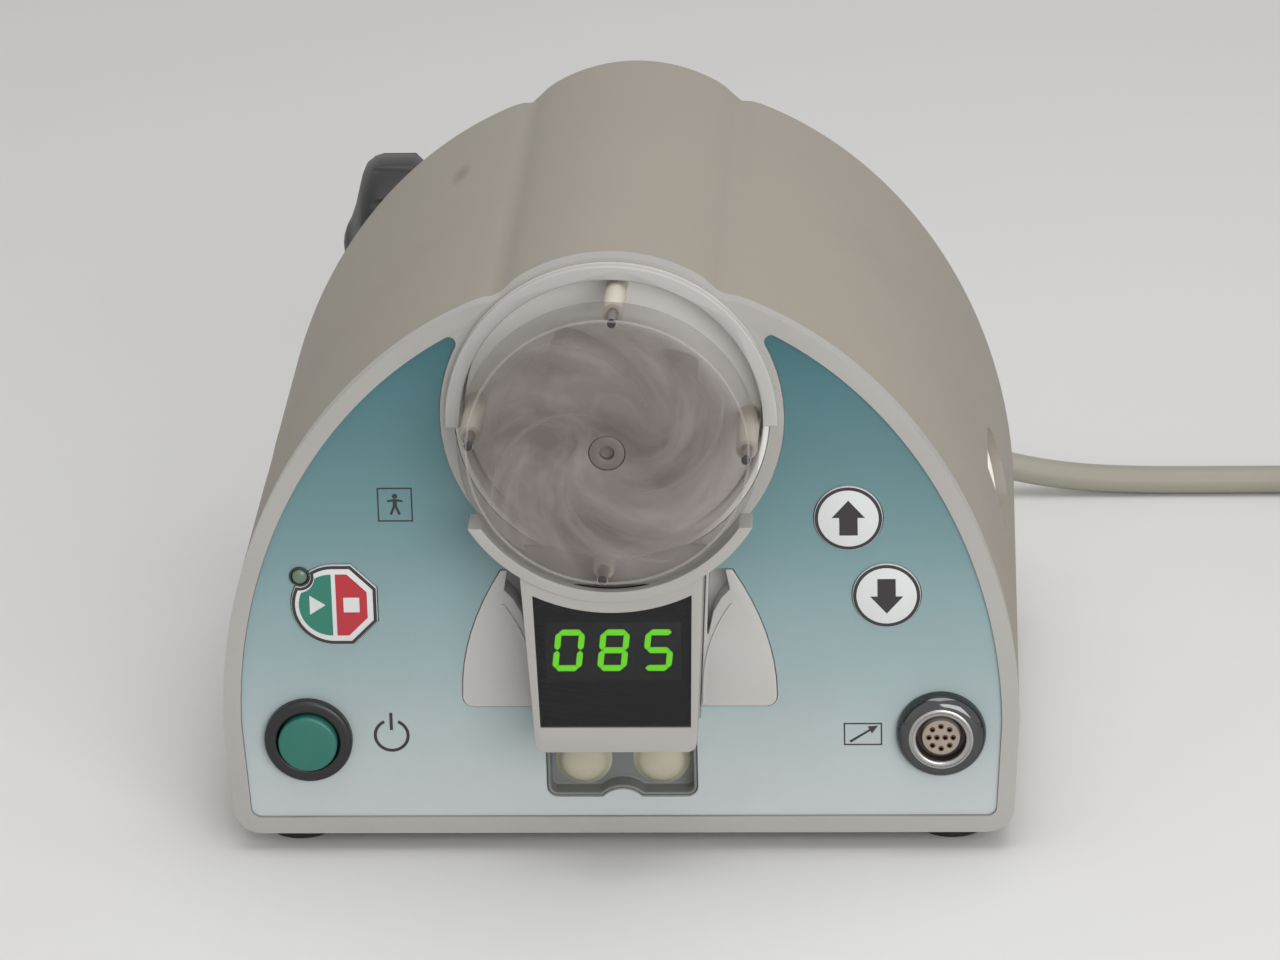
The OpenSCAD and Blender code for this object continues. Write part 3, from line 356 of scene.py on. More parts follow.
lead_sheath = surface("lead_sheath", (164, 160, 146), (150, 146, 132), 0.5, 0.2, 800, 0.45, (120, 112, 100))
tie_strap = surface("tie_strap", (70, 70, 72), (52, 52, 54), 0.8, 0.6, 1200, 0.1)
key_film = surface("key_film", (214, 216, 216), (206, 208, 208), 0.36, 0.15, 1500, 0.12, (170, 166, 160))
ink = surface("ink", (46, 41, 44), (38, 33, 36), 0.42, 0.05, 900, 0.1)
green_ink = surface("green_ink", (38, 122, 104), (32, 112, 95), 0.36, 0.12, 1500, 0.1)
red_ink = surface("red_ink", (184, 40, 54), (172, 34, 48), 0.36, 0.12, 1500, 0.1)
print("plastics, rubbers and inks:", len(bpy.data.materials))

# %% [markdown]
# The metals and the boards. Bare metal takes its colour from its reflections, so these are made fully
# metallic and differ in tone and roughness: polished for the socket, satin for its rim, coarse for the
# casting. The coated rear sheet and the boards are paint and laminate.

# %% Metals and boards
steel = surface("steel", (196, 196, 198), (170, 170, 173), 0.28, 0.05, 1200, 0.2, metallic=1.0)
# Painted reflection: the polished socket metal is given a dark tone, standing in for the dark surroundings it would
# mirror.
chrome = surface("chrome", (98, 98, 100), (74, 74, 76), 0.08, 0.0, 900, 0.12, metallic=1.0)
satin_metal = surface("satin_metal", (178, 178, 176), (160, 160, 158), 0.3, 0.05, 900, 0.15, metallic=1.0)
cast_alloy = surface("cast_alloy", (168, 168, 166), (142, 142, 141), 0.48, 0.5, 420, 0.3, metallic=1.0)
zinc = surface("zinc", (188, 190, 190), (160, 162, 164), 0.4, 0.1, 300, 0.3, metallic=1.0)
bronze = surface("bronze", (190, 142, 80), (160, 116, 62), 0.38, 0.2, 800, 0.3, metallic=1.0)
contact_gold = surface("contact_gold", (112, 88, 66), (92, 70, 52), 0.25, 0.0, 900, 0.1, metallic=1.0)
coated_metal = surface("coated_metal", (92, 92, 94), (78, 78, 80), 0.6, 0.5, 700, 0.3, (120, 116, 110))
board_green = surface("board_green", (34, 104, 70), (26, 84, 56), 0.4, 0.05, 500, 0.2)
winding = surface("winding", (196, 140, 84), (150, 96, 54), 0.45, 0.4, 260, 0.2)
print("plain finishes:", len(bpy.data.materials))

# %% [markdown]
# Clear and milky plastics let part of the light straight through, by their alpha, and keep a glossy skin
# that is smeared by use. The bead and the swirls on the rotor's disc, its frosted hub and the smoked
# window differ only in colour, clearness and gloss.

# %% Clear and milky plastics
CLEAR_IOR = 1.49


def milky(name, light, dark, clearness, rough, dirt):
    m = surface(name, light, dark, rough, 0.0, 140.0, dirt, (196, 188, 180))
    shader = m.node_tree.nodes["Principled BSDF"]
    shader.inputs["Alpha"].default_value = 1 - clearness
    shader.inputs["IOR"].default_value = CLEAR_IOR
    return m


acrylic = milky("acrylic", (146, 137, 133), (106, 98, 95), 0.3, (0.08, 0.3), 0.15)
bead_acrylic = milky("bead_acrylic", (184, 177, 172), (168, 161, 157), 0.62, (0.06, 0.2), 0.1)
swirl_acrylic = milky("swirl_acrylic", (180, 173, 168), (160, 153, 149), 0.72, (0.1, 0.3), 0.1)
frosted = milky("frosted", (214, 209, 204), (198, 192, 187), 0.82, (0.2, 0.45), 0.2)
smoked = milky("smoked", (40, 41, 42), (32, 33, 34), 0.62, (0.05, 0.14), 0.0)
print("all finishes so far:", len(bpy.data.materials))

# %% [markdown]
# The rotor's disc has been wiped round and round for years, so its haze is drawn out into curved wisps
# and is thickest in the middle; the paler wisps are also painted highlights, the light streaks on its face.
# The place is turned about the rotor's axis by an angle that grows with the radius, which bends a plain
# noise into wisps, and the radius thins the haze towards the edge.

# %% Wisps in the disc: smears and painted highlights
AXIS_Z = 135.5
TWIST = 38.0
t = acrylic.node_tree
centre = add(t, "ShaderNodeMapping", Location=(0, 0, -AXIS_Z / 1000))
t.links.new(own_place(t), centre.inputs["Vector"])
flat = add(t, "ShaderNodeVectorMath", operation="MULTIPLY")
flat.inputs[1].default_value = (1, 0, 1)
t.links.new(centre.outputs[0], flat.inputs[0])
radius = length_of(t, flat.outputs["Vector"])
twist = add(t, "ShaderNodeVectorRotate", rotation_type="Y_AXIS")
t.links.new(centre.outputs[0], twist.inputs["Vector"])
t.links.new(math_of(t, "MULTIPLY", radius, TWIST), twist.inputs["Angle"])
smear_and_highlight = noise(t, twist.outputs[0], Scale=42.0, Detail=4.0, Roughness=0.55, Distortion=1.1).outputs["Fac"]
# Painted highlight: the wisps set the disc's tone, and the paler ones stand in for light streaks on its face, besides
# the smears of wiping.
t.links.new(remap(t, smear_and_highlight, 0.36, 0.68), t.nodes["tone"].inputs[FACTOR])
haze = remap(t, radius, 0.0305, 0.0385, 0.82, 0.28)
thin = remap(t, smear_and_highlight, 0, 1, 1.05, 0.75)
t.links.new(math_of(t, "MULTIPLY", haze, thin), t.nodes["Principled BSDF"].inputs["Alpha"])
print("wisps drawn")

# %% [markdown]
# Two plastics change from place to place. In the pump cup a paler colour is mixed in with the distance
# behind the panel's front: painted light, standing in for light that reaches the shaded inside. The cover
# carries one short dark rub mark on its left slope, a stretched round spot that fades out.

# %% Painted light inside the cup, rub mark on the cover
CUP_RIM, CUP_LIT_INSIDE = PANEL_Y - 3.4, PANEL_Y - 1.4
t = cup_plastic.node_tree
split = add(t, "ShaderNodeSeparateXYZ")
t.links.new(own_place(t), split.inputs[0])
painted_light_mask = remap(t, split.outputs["Y"], CUP_RIM / 1000, CUP_LIT_INSIDE / 1000)
# Painted light: the paler colour deep in the cup stands in for light that reaches its shaded inside.
inside = mix(t, painted_light_mask, t.nodes["tone"].outputs[MIXED], screen(222, 220, 216))
t.links.new(inside, t.nodes["dirty"].inputs[FIRST])

t = cover_plastic.node_tree
rub = add(t, "ShaderNodeMapping", Location=(13.2, -2.9, -42.3), Scale=(260, 110, 260))
t.links.new(own_place(t), rub.inputs["Vector"])
mark = remap(t, length_of(t, rub.outputs[0]), 0.2, 1.0, 0.55, 0.0)
smudge = mix(t, mark, t.nodes["worn"].outputs[MIXED], screen(98, 92, 86))
t.links.new(smudge, t.nodes["Principled BSDF"].inputs["Base Color"])
print("cup and cover marked")

# %% [markdown]
# The printed film runs from dark teal at the horn tips to almost white at the bottom, as screen print on
# the back of a clear film does, so a colour ramp reads the height. The slow tone of the surface is
# multiplied in, to keep the print from looking perfectly even.

# %% Printed film
FILM_LOW, FILM_HIGH = 0.010, 0.168
film = surface("panel_film", (255, 255, 255), (240, 240, 240), 0.4, 0.18, 1600, 0.1)
t = film.node_tree
split = add(t, "ShaderNodeSeparateXYZ")
t.links.new(own_place(t), split.inputs[0])
ramp = add(t, "ShaderNodeValToRGB")
stops = [(0.0, (190, 195, 196)), (0.12, (178, 187, 189)), (0.27, (156, 173, 175)), (0.42, (135, 161, 164)),
         (0.55, (111, 144, 148)), (0.72, (86, 126, 131)), (0.86, (66, 113, 119)), (1.0, (38, 93, 103))]
while len(ramp.color_ramp.elements) < len(stops):
    ramp.color_ramp.elements.new(0.5)
for element, (position, colour) in zip(ramp.color_ramp.elements, stops):
    element.position = position
    element.color = screen(*colour)
t.links.new(remap(t, split.outputs["Z"], FILM_LOW, FILM_HIGH), ramp.inputs["Fac"])
tint = mix(t, 0.6, ramp.outputs["Color"], t.nodes["tone"].outputs[MIXED], blend_type="MULTIPLY")
t.links.new(tint, t.nodes["dirty"].inputs[FIRST])
print("film stops:", len(stops))

# %% [markdown]
# The lit bars of the display send out light themselves. Their colour varies very slightly with the tone
# of the surface, as the light guides of real bars do.

# %% Lit bars
GLOW = 2.1
LIT = (106, 214, 18)
lit_green = surface("lit_green", LIT, LIT, 0.4, 0.0)
t = lit_green.node_tree
slow_tone = next(n for n in t.nodes if n.type == "GROUP").outputs["Tone"]
glow = mix(t, slow_tone, screen(*[c * 0.92 for c in LIT]), screen(*LIT))
t.links.new(glow, t.nodes["Principled BSDF"].inputs["Emission Color"])
t.nodes["Principled BSDF"].inputs["Emission Strength"].default_value = GLOW
print("materials:", len(bpy.data.materials))

# %% [markdown]
# Light and floor. A plain pale table, a large soft light overhead and a stronger one from the front
# right, low enough to reach into the pump head, give the soft shading of a room. The world is a pale
# grey, shown as the same grey to the camera, to mirrors and through glass, so the background stays plain.

# %% Light and floor
ROOM_LIGHT, ROOM_SEEN = 0.42, (0.86, 0.86, 0.86, 1)
world = bpy.data.worlds.new("room")
bpy.context.scene.world = world
world.use_nodes = True
t = world.node_tree
room = t.nodes["Background"]
room.inputs["Color"].default_value = (1, 1, 1, 1)
room.inputs["Strength"].default_value = ROOM_LIGHT
seen = add(t, "ShaderNodeBackground", Color=ROOM_SEEN)
path = add(t, "ShaderNodeLightPath").outputs
rays = math_of(t, "MAXIMUM", path["Is Camera Ray"], path["Is Transmission Ray"])
mirrors = math_of(t, "MAXIMUM", rays, path["Is Glossy Ray"])
pick = add(t, "ShaderNodeMixShader")
for socket, value in zip(pick.inputs, (mirrors, room.outputs[0], seen.outputs[0])):
    t.links.new(value, socket)
t.links.new(pick.outputs[0], t.nodes["World Output"].inputs[0])


def soft_light(name, place, aim, size, power):
    lamp = bpy.data.lights.new(name, "AREA")
    lamp.shape = "RECTANGLE"
    lamp.size, lamp.size_y = size
    lamp.energy = power
    piece = bpy.data.objects.new(name, lamp)
    piece.location = place
    piece.rotation_mode = "QUATERNION"
    piece.rotation_quaternion = (Vector(aim) - Vector(place)).to_track_quat("-Z", "Y")
    bpy.context.scene.collection.objects.link(piece)


soft_light("overhead", (0.1, -0.1, 1.35), (0, 0, 0.08), (1.1, 0.9), 7)
soft_light("front_right", (0.6, -1.45, 0.6), (0, -0.05, 0.1), (1.1, 0.9), 13.5)
clear()
bpy.ops.mesh.primitive_plane_add(size=14, location=(0, 2, 0))
table = bpy.context.object
table.name = "table"
bpy.ops.object.transform_apply(location=True, rotation=True, scale=True)
table_top = surface("table_top", (232, 231, 229), (228, 227, 225), 0.7, 0.03, 60.0, 0.0)
table.data.materials.append(table_top)
bpy.context.scene.view_settings.view_transform = "Standard"

# %% [markdown]
# Many pieces start as a copy of their CAD solid, because its place and fit are already right. The
# copy's loose triangles are merged, flat triangles become whole faces, and chosen edges are rounded
# with the bevel operator, as on a moulded part. Then the copy stands for the solid.

# %% Copy a solid and round its edges
def copy_of(node, name):
    take(solids[node])
    bpy.ops.object.duplicate()
    piece = bpy.context.object
    piece.name = name
    piece.parent = None
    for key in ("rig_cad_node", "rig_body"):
        if key in piece:
            del piece[key]
    bpy.ops.mesh.customdata_custom_splitnormals_clear()
    edit(piece)
    bpy.ops.mesh.select_all(action="SELECT")
    bpy.ops.mesh.remove_doubles(threshold=0.00001)
    bpy.ops.mesh.dissolve_limited(angle_limit=math.radians(0.4))
    done()
    return piece


def round_picked(width, steps):
    bpy.ops.mesh.bevel(offset_type="OFFSET", offset=width / 1000, segments=steps, profile=0.5,
                       affect="EDGES", clamp_overlap=True)
    done()


def round_all(piece, width, steps=2, angle=40):
    take(piece)
    bevel = piece.modifiers.new("edges", "BEVEL")
    bevel.width = width / 1000
    bevel.segments = steps
    bevel.limit_method = "ANGLE"
    bevel.angle_limit = math.radians(angle)
    bpy.ops.object.modifier_apply(modifier="edges")


def dressed(node, name, body, finish, slot, width, steps=2, angle=40):
    piece = copy_of(node, name)
    round_all(piece, width, steps, angle)
    return settle(piece, body, finish, slot, node)


print("copies ready")

# %% [markdown]
# The casing. The front bezel has a generous round along its outer edge, which catches the light. The
# cover behind it has a finely broken front edge, so a thin line shows where the two meet. On both, the
# creases beside the hump on top are softened first.

# %% Casing
RING_EDGE = 48.5
CREASE_R = 2.6


def outer_front(level):
    """Picks the edge between the front face at this level and the outer wall, not the ring's edge."""
    def test(m, normals, e):
        if any(abs(v.co.y * 1000 - PANEL_Y - level) > 0.05 for v in e.verts):
            return False
        flat = [n for n in normals if abs(n.y) > 0.9]
        side = [n for n in normals if abs(n.y) < 0.2]
        if len(flat) != 1 or len(side) != 1:
            return False
        outward = Vector((m.x, 0, m.z - 60))
        from_axis = math.hypot(m.x, m.z - AXIS_Z)
        return side[0].dot(outward) > 0 and from_axis > RING_EDGE - 1 and abs(from_axis - RING_EDGE) > 0.06
    return test


def outer_crease(m, normals, e):
    along = abs(e.verts[0].co.y - e.verts[1].co.y) > 0.002
    beside_hump = 26 < abs(m.x) < 38 and m.z > 169 and min(n.z for n in normals) > 0.3
    return along and beside_hump and normals[0].angle(normals[1]) > math.radians(14)


for node, name, finish, slot, level, width, steps in (
        ("front_bezel", "bezel_front", bezel_plastic, "bezel", -1.0, 3.4, 6),
        ("main_cover", "casing_cover", cover_plastic, "casing", 4.0, 0.45, 2)):
    shell = copy_of(node, name)
    creases = pick_edges(shell, outer_crease)
    round_picked(CREASE_R, 4)
    edges = pick_edges(shell, outer_front(level))
    round_picked(width, steps)
    settle(shell, "housing", finish, slot, node, smooth=40)
    print(name, "creases softened:", creases, "edges rounded:", edges)

# %% [markdown]
# The pump cup, the display hood and the two tube guides are mouldings that stand out of the panel. All
# have soft edges. The hood's two lower corners are much rounder than its other edges, so they are
# picked by their place and rounded first.

# %% Pump cup, hood and tube guides
HOOD_CORNER = (22.75, 42.2)


def hood_corner(m, normals, e):
    return abs(abs(m.x) - HOOD_CORNER[0]) < 0.1 and abs(m.z - HOOD_CORNER[1]) < 0.1 and m.y < -1


dressed("pump_cup", "pump_cup_moulding", "housing", cup_plastic, "bezel", 0.7, 3)
hood = copy_of("display_hood", "hood_moulding")
corners = pick_edges(hood, hood_corner)
round_picked(2.6, 5)
round_all(hood, 0.8, 3)
settle(hood, "housing", bezel_plastic, "bezel", "display_hood", smooth=40)
dressed("tube_guides", "tube_guide_mouldings", "housing", ivory_plastic, "ivory", 0.6, 3)
print("hood corners rounded:", corners)

# %% [markdown]
# Printed marks are thin flat outlines: a filled flat curve, made a mesh, turned to face the front and
# laid on the film or on a key. A loop inside another loop becomes a hole, which makes rings and boxes.

# %% Printed marks
def oval(wide, high, angles, cx=0, cz=0):
    return [(cx + wide * math.cos(math.radians(a)), cz + high * math.sin(math.radians(a))) for a in angles]


def arc(r, a0=0, a1=360, n=48, cx=0, cz=0):
    """n steps from a0 to a1; a full circle leaves out its last point, which is its first."""
    points = n if abs(a1 - a0) >= 360 else n + 1
    return oval(r, r, [a0 + (a1 - a0) * i / n for i in range(points)], cx, cz)


def box(w, h, cx=0, cz=0):
    return [(cx - w / 2, cz - h / 2), (cx + w / 2, cz - h / 2), (cx + w / 2, cz + h / 2), (cx - w / 2, cz + h / 2)]


def mirrored(loop):
    return [(-u, v) for u, v in reversed(loop)]


def printed(name, loops, where, body, finish, slot, thick=0.08, turn=None):
    """Lays the loops on the place; with a turn, the thickness is shared by both sides of the place."""
    clear()
    curve = bpy.data.curves.new(name, "CURVE")
    curve.dimensions = "2D"
    curve.fill_mode = "BOTH"
    curve.extrude = thick / 2000
    for loop in loops:
        line = curve.splines.new("POLY")
        line.points.add(len(loop) - 1)
        for point, (u, v) in zip(line.points, loop):
            point.co = (u / 1000, v / 1000, 0, 1)
        line.use_cyclic_u = True
    piece = bpy.data.objects.new(name, curve)
    bpy.context.scene.collection.objects.link(piece)
    take(piece)
    bpy.ops.object.convert(target="MESH")
    piece = bpy.context.object
    x, y, z = where
    piece.rotation_euler = (math.pi / 2, 0, math.radians(turn or 0))
    piece.location = at(x, y - thick / 2 if turn is None else y, z)
    edit(piece)
    bpy.ops.mesh.select_all(action="SELECT")
    bpy.ops.mesh.remove_doubles(threshold=0.000002)
    bpy.ops.mesh.normals_make_consistent(inside=False)
    done()
    return settle(piece, body, finish, slot)


print("printing ready")

# %% [markdown]
# Three signs are printed on the film: a standing figure in a box, the standby ring with its bar, and a
# box with a slanting arrow beside the remote socket. Each is a handful of loops in one print.

# %% Signs on the film
figure = [(-0.45, 1.7), (-2.2, 1.3), (-2.2, 0.8), (-0.6, 0.95), (-0.6, -0.5), (-1.6, -2.9), (-0.95, -3.15), (0, -0.9)]
figure += mirrored(figure[:-1])
figure_sign = [box(10, 10.4), box(9.2, 9.6), figure, arc(0.75, n=20, cz=2.6)]
standby_ring = arc(5.2, 115, 425, 40) + list(reversed(arc(4.3, 115, 425, 40)))
standby_sign = [standby_ring, box(0.9, 5.4, 0, 4.4)]
arrow = [(-3.9, -2.1), (-3.5, -2.7), (2.1, 1.0), (2.6, 0.2), (4.3, 2.6), (1.4, 2.4), (1.8, 1.5)]
remote_sign = [box(11, 7), box(10.2, 6.2), arrow]
for name, loops, x, z in (("figure_sign", figure_sign, -62.4, 108.7),
                          ("standby_sign", standby_sign, -66.2, 36.6),
                          ("remote_sign", remote_sign, 69.6, 36.6)):
    printed(name, loops, (x, 0, z), "housing", ink, "black")
print("signs printed")

# %% [markdown]
# Where the bezel's rim meets the ring around the pump head, the moulding has a small fillet, so the
# film's two horns end round. The fillet is drawn as an outline between the ring, the rim and a circle
# of 2 mm that touches both, and laid almost flush with the rim.

# %% Fillets at the film's horns
RING_R, TIP_R = 48.3, 2.0
ring_side = arc(RING_R, 26.34, 34.3, 5, 0, AXIS_Z)
rim_side = [(41.6, 162.6), (44.1, 161.3), (46.32, 159.81)]
fillet = ring_side + rim_side + arc(TIP_R, 61.2, 206.3, 14, 45.26, 157.91)
for name, loop in (("horn_fillet_right", fillet), ("horn_fillet_left", mirrored(fillet))):
    printed(name, [loop], (0, 0.05, 0), "housing", bezel_plastic, "bezel", 0.95)
print("horn fillets laid")

# %% [markdown]
# Each tube guide has a low curved ridge that leads the tube from the channel at its top down along the
# display. It is a narrow outline along a smooth curve, given half a millimetre of height and soft edges.

# %% Ridges of the tube guides
RIDGE_LOW, RIDGE_RISE, RIDGE_STEPS = 46.6, 31.4, 16
RIDGE_IN, RIDGE_SWING, RIDGE_HALF = 24.2, 8.6, 0.4


def ridge_x(z):
    return RIDGE_IN + RIDGE_SWING * ((z - RIDGE_LOW) / RIDGE_RISE) ** 2.6


heights = [RIDGE_LOW + RIDGE_RISE * i / RIDGE_STEPS for i in range(RIDGE_STEPS + 1)]
ridge = [(ridge_x(z) - RIDGE_HALF, z) for z in heights]
ridge += [(ridge_x(z) + RIDGE_HALF, z) for z in reversed(heights)]
for name, loop in (("guide_ridge_right", ridge), ("guide_ridge_left", mirrored(ridge))):
    piece = printed(name, [loop], (0, -0.55, 0), "housing", ivory_plastic, "ivory", 0.5)
    round_all(piece, 0.15)
print("ridges laid")

# %% [markdown]
# The arrow keys. Each is a copy of its solid with a finely broken edge, as a pressed film over a key
# has, with a dark ring and an arrow printed on it. The prints ride on the key, so they move with it.

# %% Arrow keys
KEY_Y, KEY_EDGE, KEY_INK = -0.8, 0.12, 0.05
arrow = [(-2.6, -5.2), (2.6, -5.2), (2.6, 0.2), (4.7, 0.2), (0, 5.5), (-4.7, 0.2), (-2.6, 0.2)]
for node, name, x, z, way in (("up_key", "key_up", 66.2, 104.1, 1), ("down_key", "key_down", 76.8, 80.2, -1)):
    where = (x, KEY_Y, z)
    dressed(node, name + "_cap", node, key_film, "key_white", KEY_EDGE)
    printed(name + "_ring", [arc(9.56, n=64), arc(8.6, n=64)], where, node, ink, "black", KEY_INK)
    printed(name + "_arrow", [[(u, v * way) for u, v in arrow]], where, node, ink, "black", KEY_INK)
print("arrow keys dressed")

# %% [markdown]
# The start and stop key is round on its left side and cut like an octagon on its right, and it makes
# room for the lamp at its upper left. The same outline, drawn smaller and smaller, gives the dark line
# and the two colour fields. The triangle and the square are holes that show the white key.

# %% Start and stop key
START = (-81, KEY_Y, 78)
LAMP_U, LAMP_V = -9.6, 8.7
CHAMFER = 0.42


def key_arc(r, cut):
    """Left half of the key's outline from top to bottom, led around the lamp at the distance cut."""
    far, middle = math.hypot(LAMP_U, LAMP_V), math.degrees(math.atan2(LAMP_V, LAMP_U))
    spread = math.degrees(math.acos((r * r + far * far - cut * cut) / (2 * r * far)))
    upper, lower = arc(r, 92, middle - spread, 10), arc(r, middle + spread, 268, 24)
    b0, b1 = [math.degrees(math.atan2(v - LAMP_V, u - LAMP_U)) for u, v in (upper[-1], lower[0])]
    b1 = b1 - 360 if b1 > b0 else b1
    return upper + arc(cut, b0, b1, 16, LAMP_U, LAMP_V)[1:-1] + lower


def key_right(r, gap=0.0):
    c = r * CHAMFER
    return [(gap, -r), (c, -r), (r, -c), (r, c), (c, r), (gap, r)]


def key_left(r, cut, gap):
    left = [(u - gap, v) for u, v in key_arc(r, cut)]
    return [(-gap, r * 0.999)] + [p for p in left if p[0] <= -gap] + [(-gap, -r * 0.999)]


def key_loop(r, cut):
    return key_arc(r, cut) + key_right(r)[1:-1]


dressed("run_stop_key", "start_stop_cap", "run_stop_key", key_film, "key_white", KEY_EDGE)
triangle = [(-7.0, 3.0), (-7.0, -3.0), (-2.4, 0)]
for name, loops, finish, slot in (
        ("start_stop_outline", [key_loop(12.16, 3.24), key_loop(11.2, 4.1)], ink, "black"),
        ("start_field", [key_left(9.5, 4.9, 0.6), triangle], green_ink, "button_green"),
        ("stop_field", [key_right(9.5, 0.6), box(4.6, 4.6, 5.0, 0)], red_ink, "key_red")):
    printed(name, loops, START, "run_stop_key", finish, slot, KEY_INK)
print("start and stop key dressed")

# %% [markdown]
# Round pieces are turned: a circle is laid down, then extruded ring by ring along a profile, each new
# ring scaled to its radius, and the ends closed or left open. The same function makes the switch, the
# lamp, the socket with its contacts, the sensor domes, the axle ends and the bead of the disc.

# %% Turning round pieces
TO_FRONT = (math.pi / 2, 0, 0)
POINT_R = 0.01


def turned(name, where, profile, steps, close_start=True, close_end=True):
    """Profile: (radius, height) in mm from the back to the front; height grows towards the front."""
    clear()
    profile = [(max(r, POINT_R), h) for r, h in profile]
    r, h = profile[0]
    bpy.ops.mesh.primitive_circle_add(vertices=steps, radius=r / 1000, fill_type="NOTHING", location=(0, 0, h / 1000))
    piece = bpy.context.object
    piece.name = name
    bpy.ops.object.transform_apply(location=True, rotation=True, scale=True)
    edit(piece)
    bpy.ops.mesh.select_all(action="SELECT")
    if close_start:
        bpy.ops.mesh.edge_face_add()
        bpy.ops.mesh.select_mode(type="EDGE")
        bpy.ops.mesh.select_all(action="SELECT")
    for r1, h1 in profile[1:]:
        bpy.ops.mesh.extrude_edges_move(TRANSFORM_OT_translate={"value": (0, 0, (h1 - h) / 1000)})
        bpy.ops.transform.resize(value=(r1 / r, r1 / r, 1), center_override=(0, 0, h1 / 1000))
        r, h = r1, h1
    if close_end:
        bpy.ops.mesh.edge_face_add()
    bpy.ops.mesh.select_all(action="SELECT")
    bpy.ops.mesh.remove_doubles(threshold=0.000001)
    bpy.ops.mesh.normals_make_consistent(inside=False)
    done()
    piece.rotation_euler = TO_FRONT
    piece.location = at(*where)
    return piece


print("turning ready")

# %% [markdown]
# The power switch is a black ring with a rounded rim and a green button that is slightly hollow for the
# finger. The run lamp is a small dome in a thin dark ring. Each is one profile, turned from its barrel
# behind the panel out to the front.

# %% Power switch and lamp
SWITCH, LAMP = (-90.2, 0, 35.7), (-90.6, 0, 86.7)
ring = [(9.8, -28), (9.8, 0), (12.75, 0)] + arc(1.25, 0, 90, 6, 11.5, 1.7) + arc(0.75, 90, 180, 6, 9.7, 2.2)
ring += [(8.9, 1.5), (8.88, -11.9)]
settle(turned("switch_ring", SWITCH, ring, 64), "housing", black_plastic, "black", "switch_body")
cap = [(8.5, -8.6), (8.5, 3.9)] + arc(1.0, 0, 80, 5, 7.5, 3.9) + [(6.0, 4.96), (3.0, 4.9), (POINT_R, 4.86)]
piece = turned("power_cap", SWITCH, cap, 56, True, False)
settle(piece, "power_button", button_green, "button_green", "power_button")
lens = [(2.2, -13), (2.2, 0.2)] + oval(2.2, 1.0, range(15, 90, 15), 0, 0.2) + [(POINT_R, 1.2)]
piece = turned("run_lamp_lens", LAMP, lens, 32, True, False)
settle(piece, "housing", lamp_lens, "lamp", "run_lamp")
collar = [(2.25, 0.0), (2.95, 0.0)] + arc(0.25, 0, 180, 6, 2.7, 0.35) + [(2.25, 0.0)]
settle(turned("run_lamp_ring", LAMP, collar, 32, False, False), "housing", ink, "black")
print("switch and lamp turned")

# %% [markdown]
# The remote socket: a domed ring of polished metal whose dark tone is a painted reflection of dark
# surroundings, a flat satin rim with a fine groove inside it, and a dark ring inside the rim that is
# painted shade, the shadow in the gap around the insert. All three are turned. The shell carries the
# barrel that reaches through the panel.

# %% Shell of the remote socket
SOCKET = (92, 0, 37)
shell = [(9.8, -18), (9.8, 0), (13.0, 0)] + oval(3.6, 4.3, range(0, 91, 10), 9.4, 0.5)
shell += [(9.4, 3.6), (7.2, 3.6), (7.2, -1.0), (6.82, -1.0), (6.82, -10.9)]
settle(turned("socket_shell", SOCKET, shell, 72), "housing", chrome, "chrome", "connector_shell")
rim = [(7.22, 3.6), (9.38, 3.6), (9.38, 4.7), (9.2, 4.95), (8.65, 5.0), (8.55, 4.7),
       (8.25, 4.7), (8.15, 4.9), (7.5, 4.9), (7.22, 4.6), (7.22, 3.6)]
piece = turned("socket_rim", SOCKET, rim, 72, False, False)
settle(piece, "housing", satin_metal, "chrome", smooth=50)
# Painted shade: this dark ring stands in for the shadow in the gap between the rim and the insert.
gap_shade_profile = [(5.5, -0.9), (7.15, -0.9), (7.15, 3.4), (6.95, 3.5), (6.85, 1.4), (5.5, 1.2), (5.5, -0.9)]
piece = turned("socket_gap_shade", SOCKET, gap_shade_profile, 56, False, False)
settle(piece, "housing", painted_gap_shade, "black", smooth=50)
print("socket shell turned")

# %% [markdown]
# The socket's insert is a pale block with ten contacts, eight on a circle and two in the middle. It
# starts from its CAD copy, so the contact holes are real ones. Its front is then drawn forward and in,
# which leaves the narrow moat around it, darkened by the painted shade of the ring behind it. Each
# contact is a gilt sleeve with a thin flange.

# %% Insert and contacts of the socket
INSERT_Y, FORWARD, DRAWN_IN = 1.0, 4.5, 5.35 / 6.78
insert = copy_of("connector_insert", "socket_insert")
edit(insert)
mesh = bmesh.from_edit_mesh(insert.data)
for v in mesh.verts:
    v.select_set(abs(v.co.y * 1000 - PANEL_Y - INSERT_Y) < 0.05)
bmesh.update_edit_mesh(insert.data)
bpy.ops.transform.translate(value=(0, -FORWARD / 1000, 0))
bpy.ops.transform.resize(value=(DRAWN_IN, 1, DRAWN_IN), center_override=at(SOCKET[0], INSERT_Y - FORWARD, SOCKET[2]))
done()
round_all(insert, 0.15, 2, 50)
settle(insert, "housing", insert_plastic, "black", "connector_insert")
sleeve = [(0.34, 2.4), (0.52, 2.4), (0.52, 3.5), (0.86, 3.5), (0.82, 3.6), (0.5, 3.66), (0.34, 3.4), (0.34, 2.4)]
spots = oval(4.4, 4.4, [45 * i for i in range(8)]) + [(-1.5, 0), (1.5, 0)]
for i, (u, v) in enumerate(spots, 1):
    where = (SOCKET[0] + DRAWN_IN * u, 0, SOCKET[2] + DRAWN_IN * v)
    piece = turned("socket_contact_%d" % i, where, sleeve, 16, False, False)
    settle(piece, "housing", contact_gold, "bronze")
print("contacts:", len(spots))

# %% [markdown]
# The sensor window: a soft grey tray with two cream domes that swell softly out of it. Each dome is
# turned with a flared foot, so that it grows out of the tray without a hard edge.

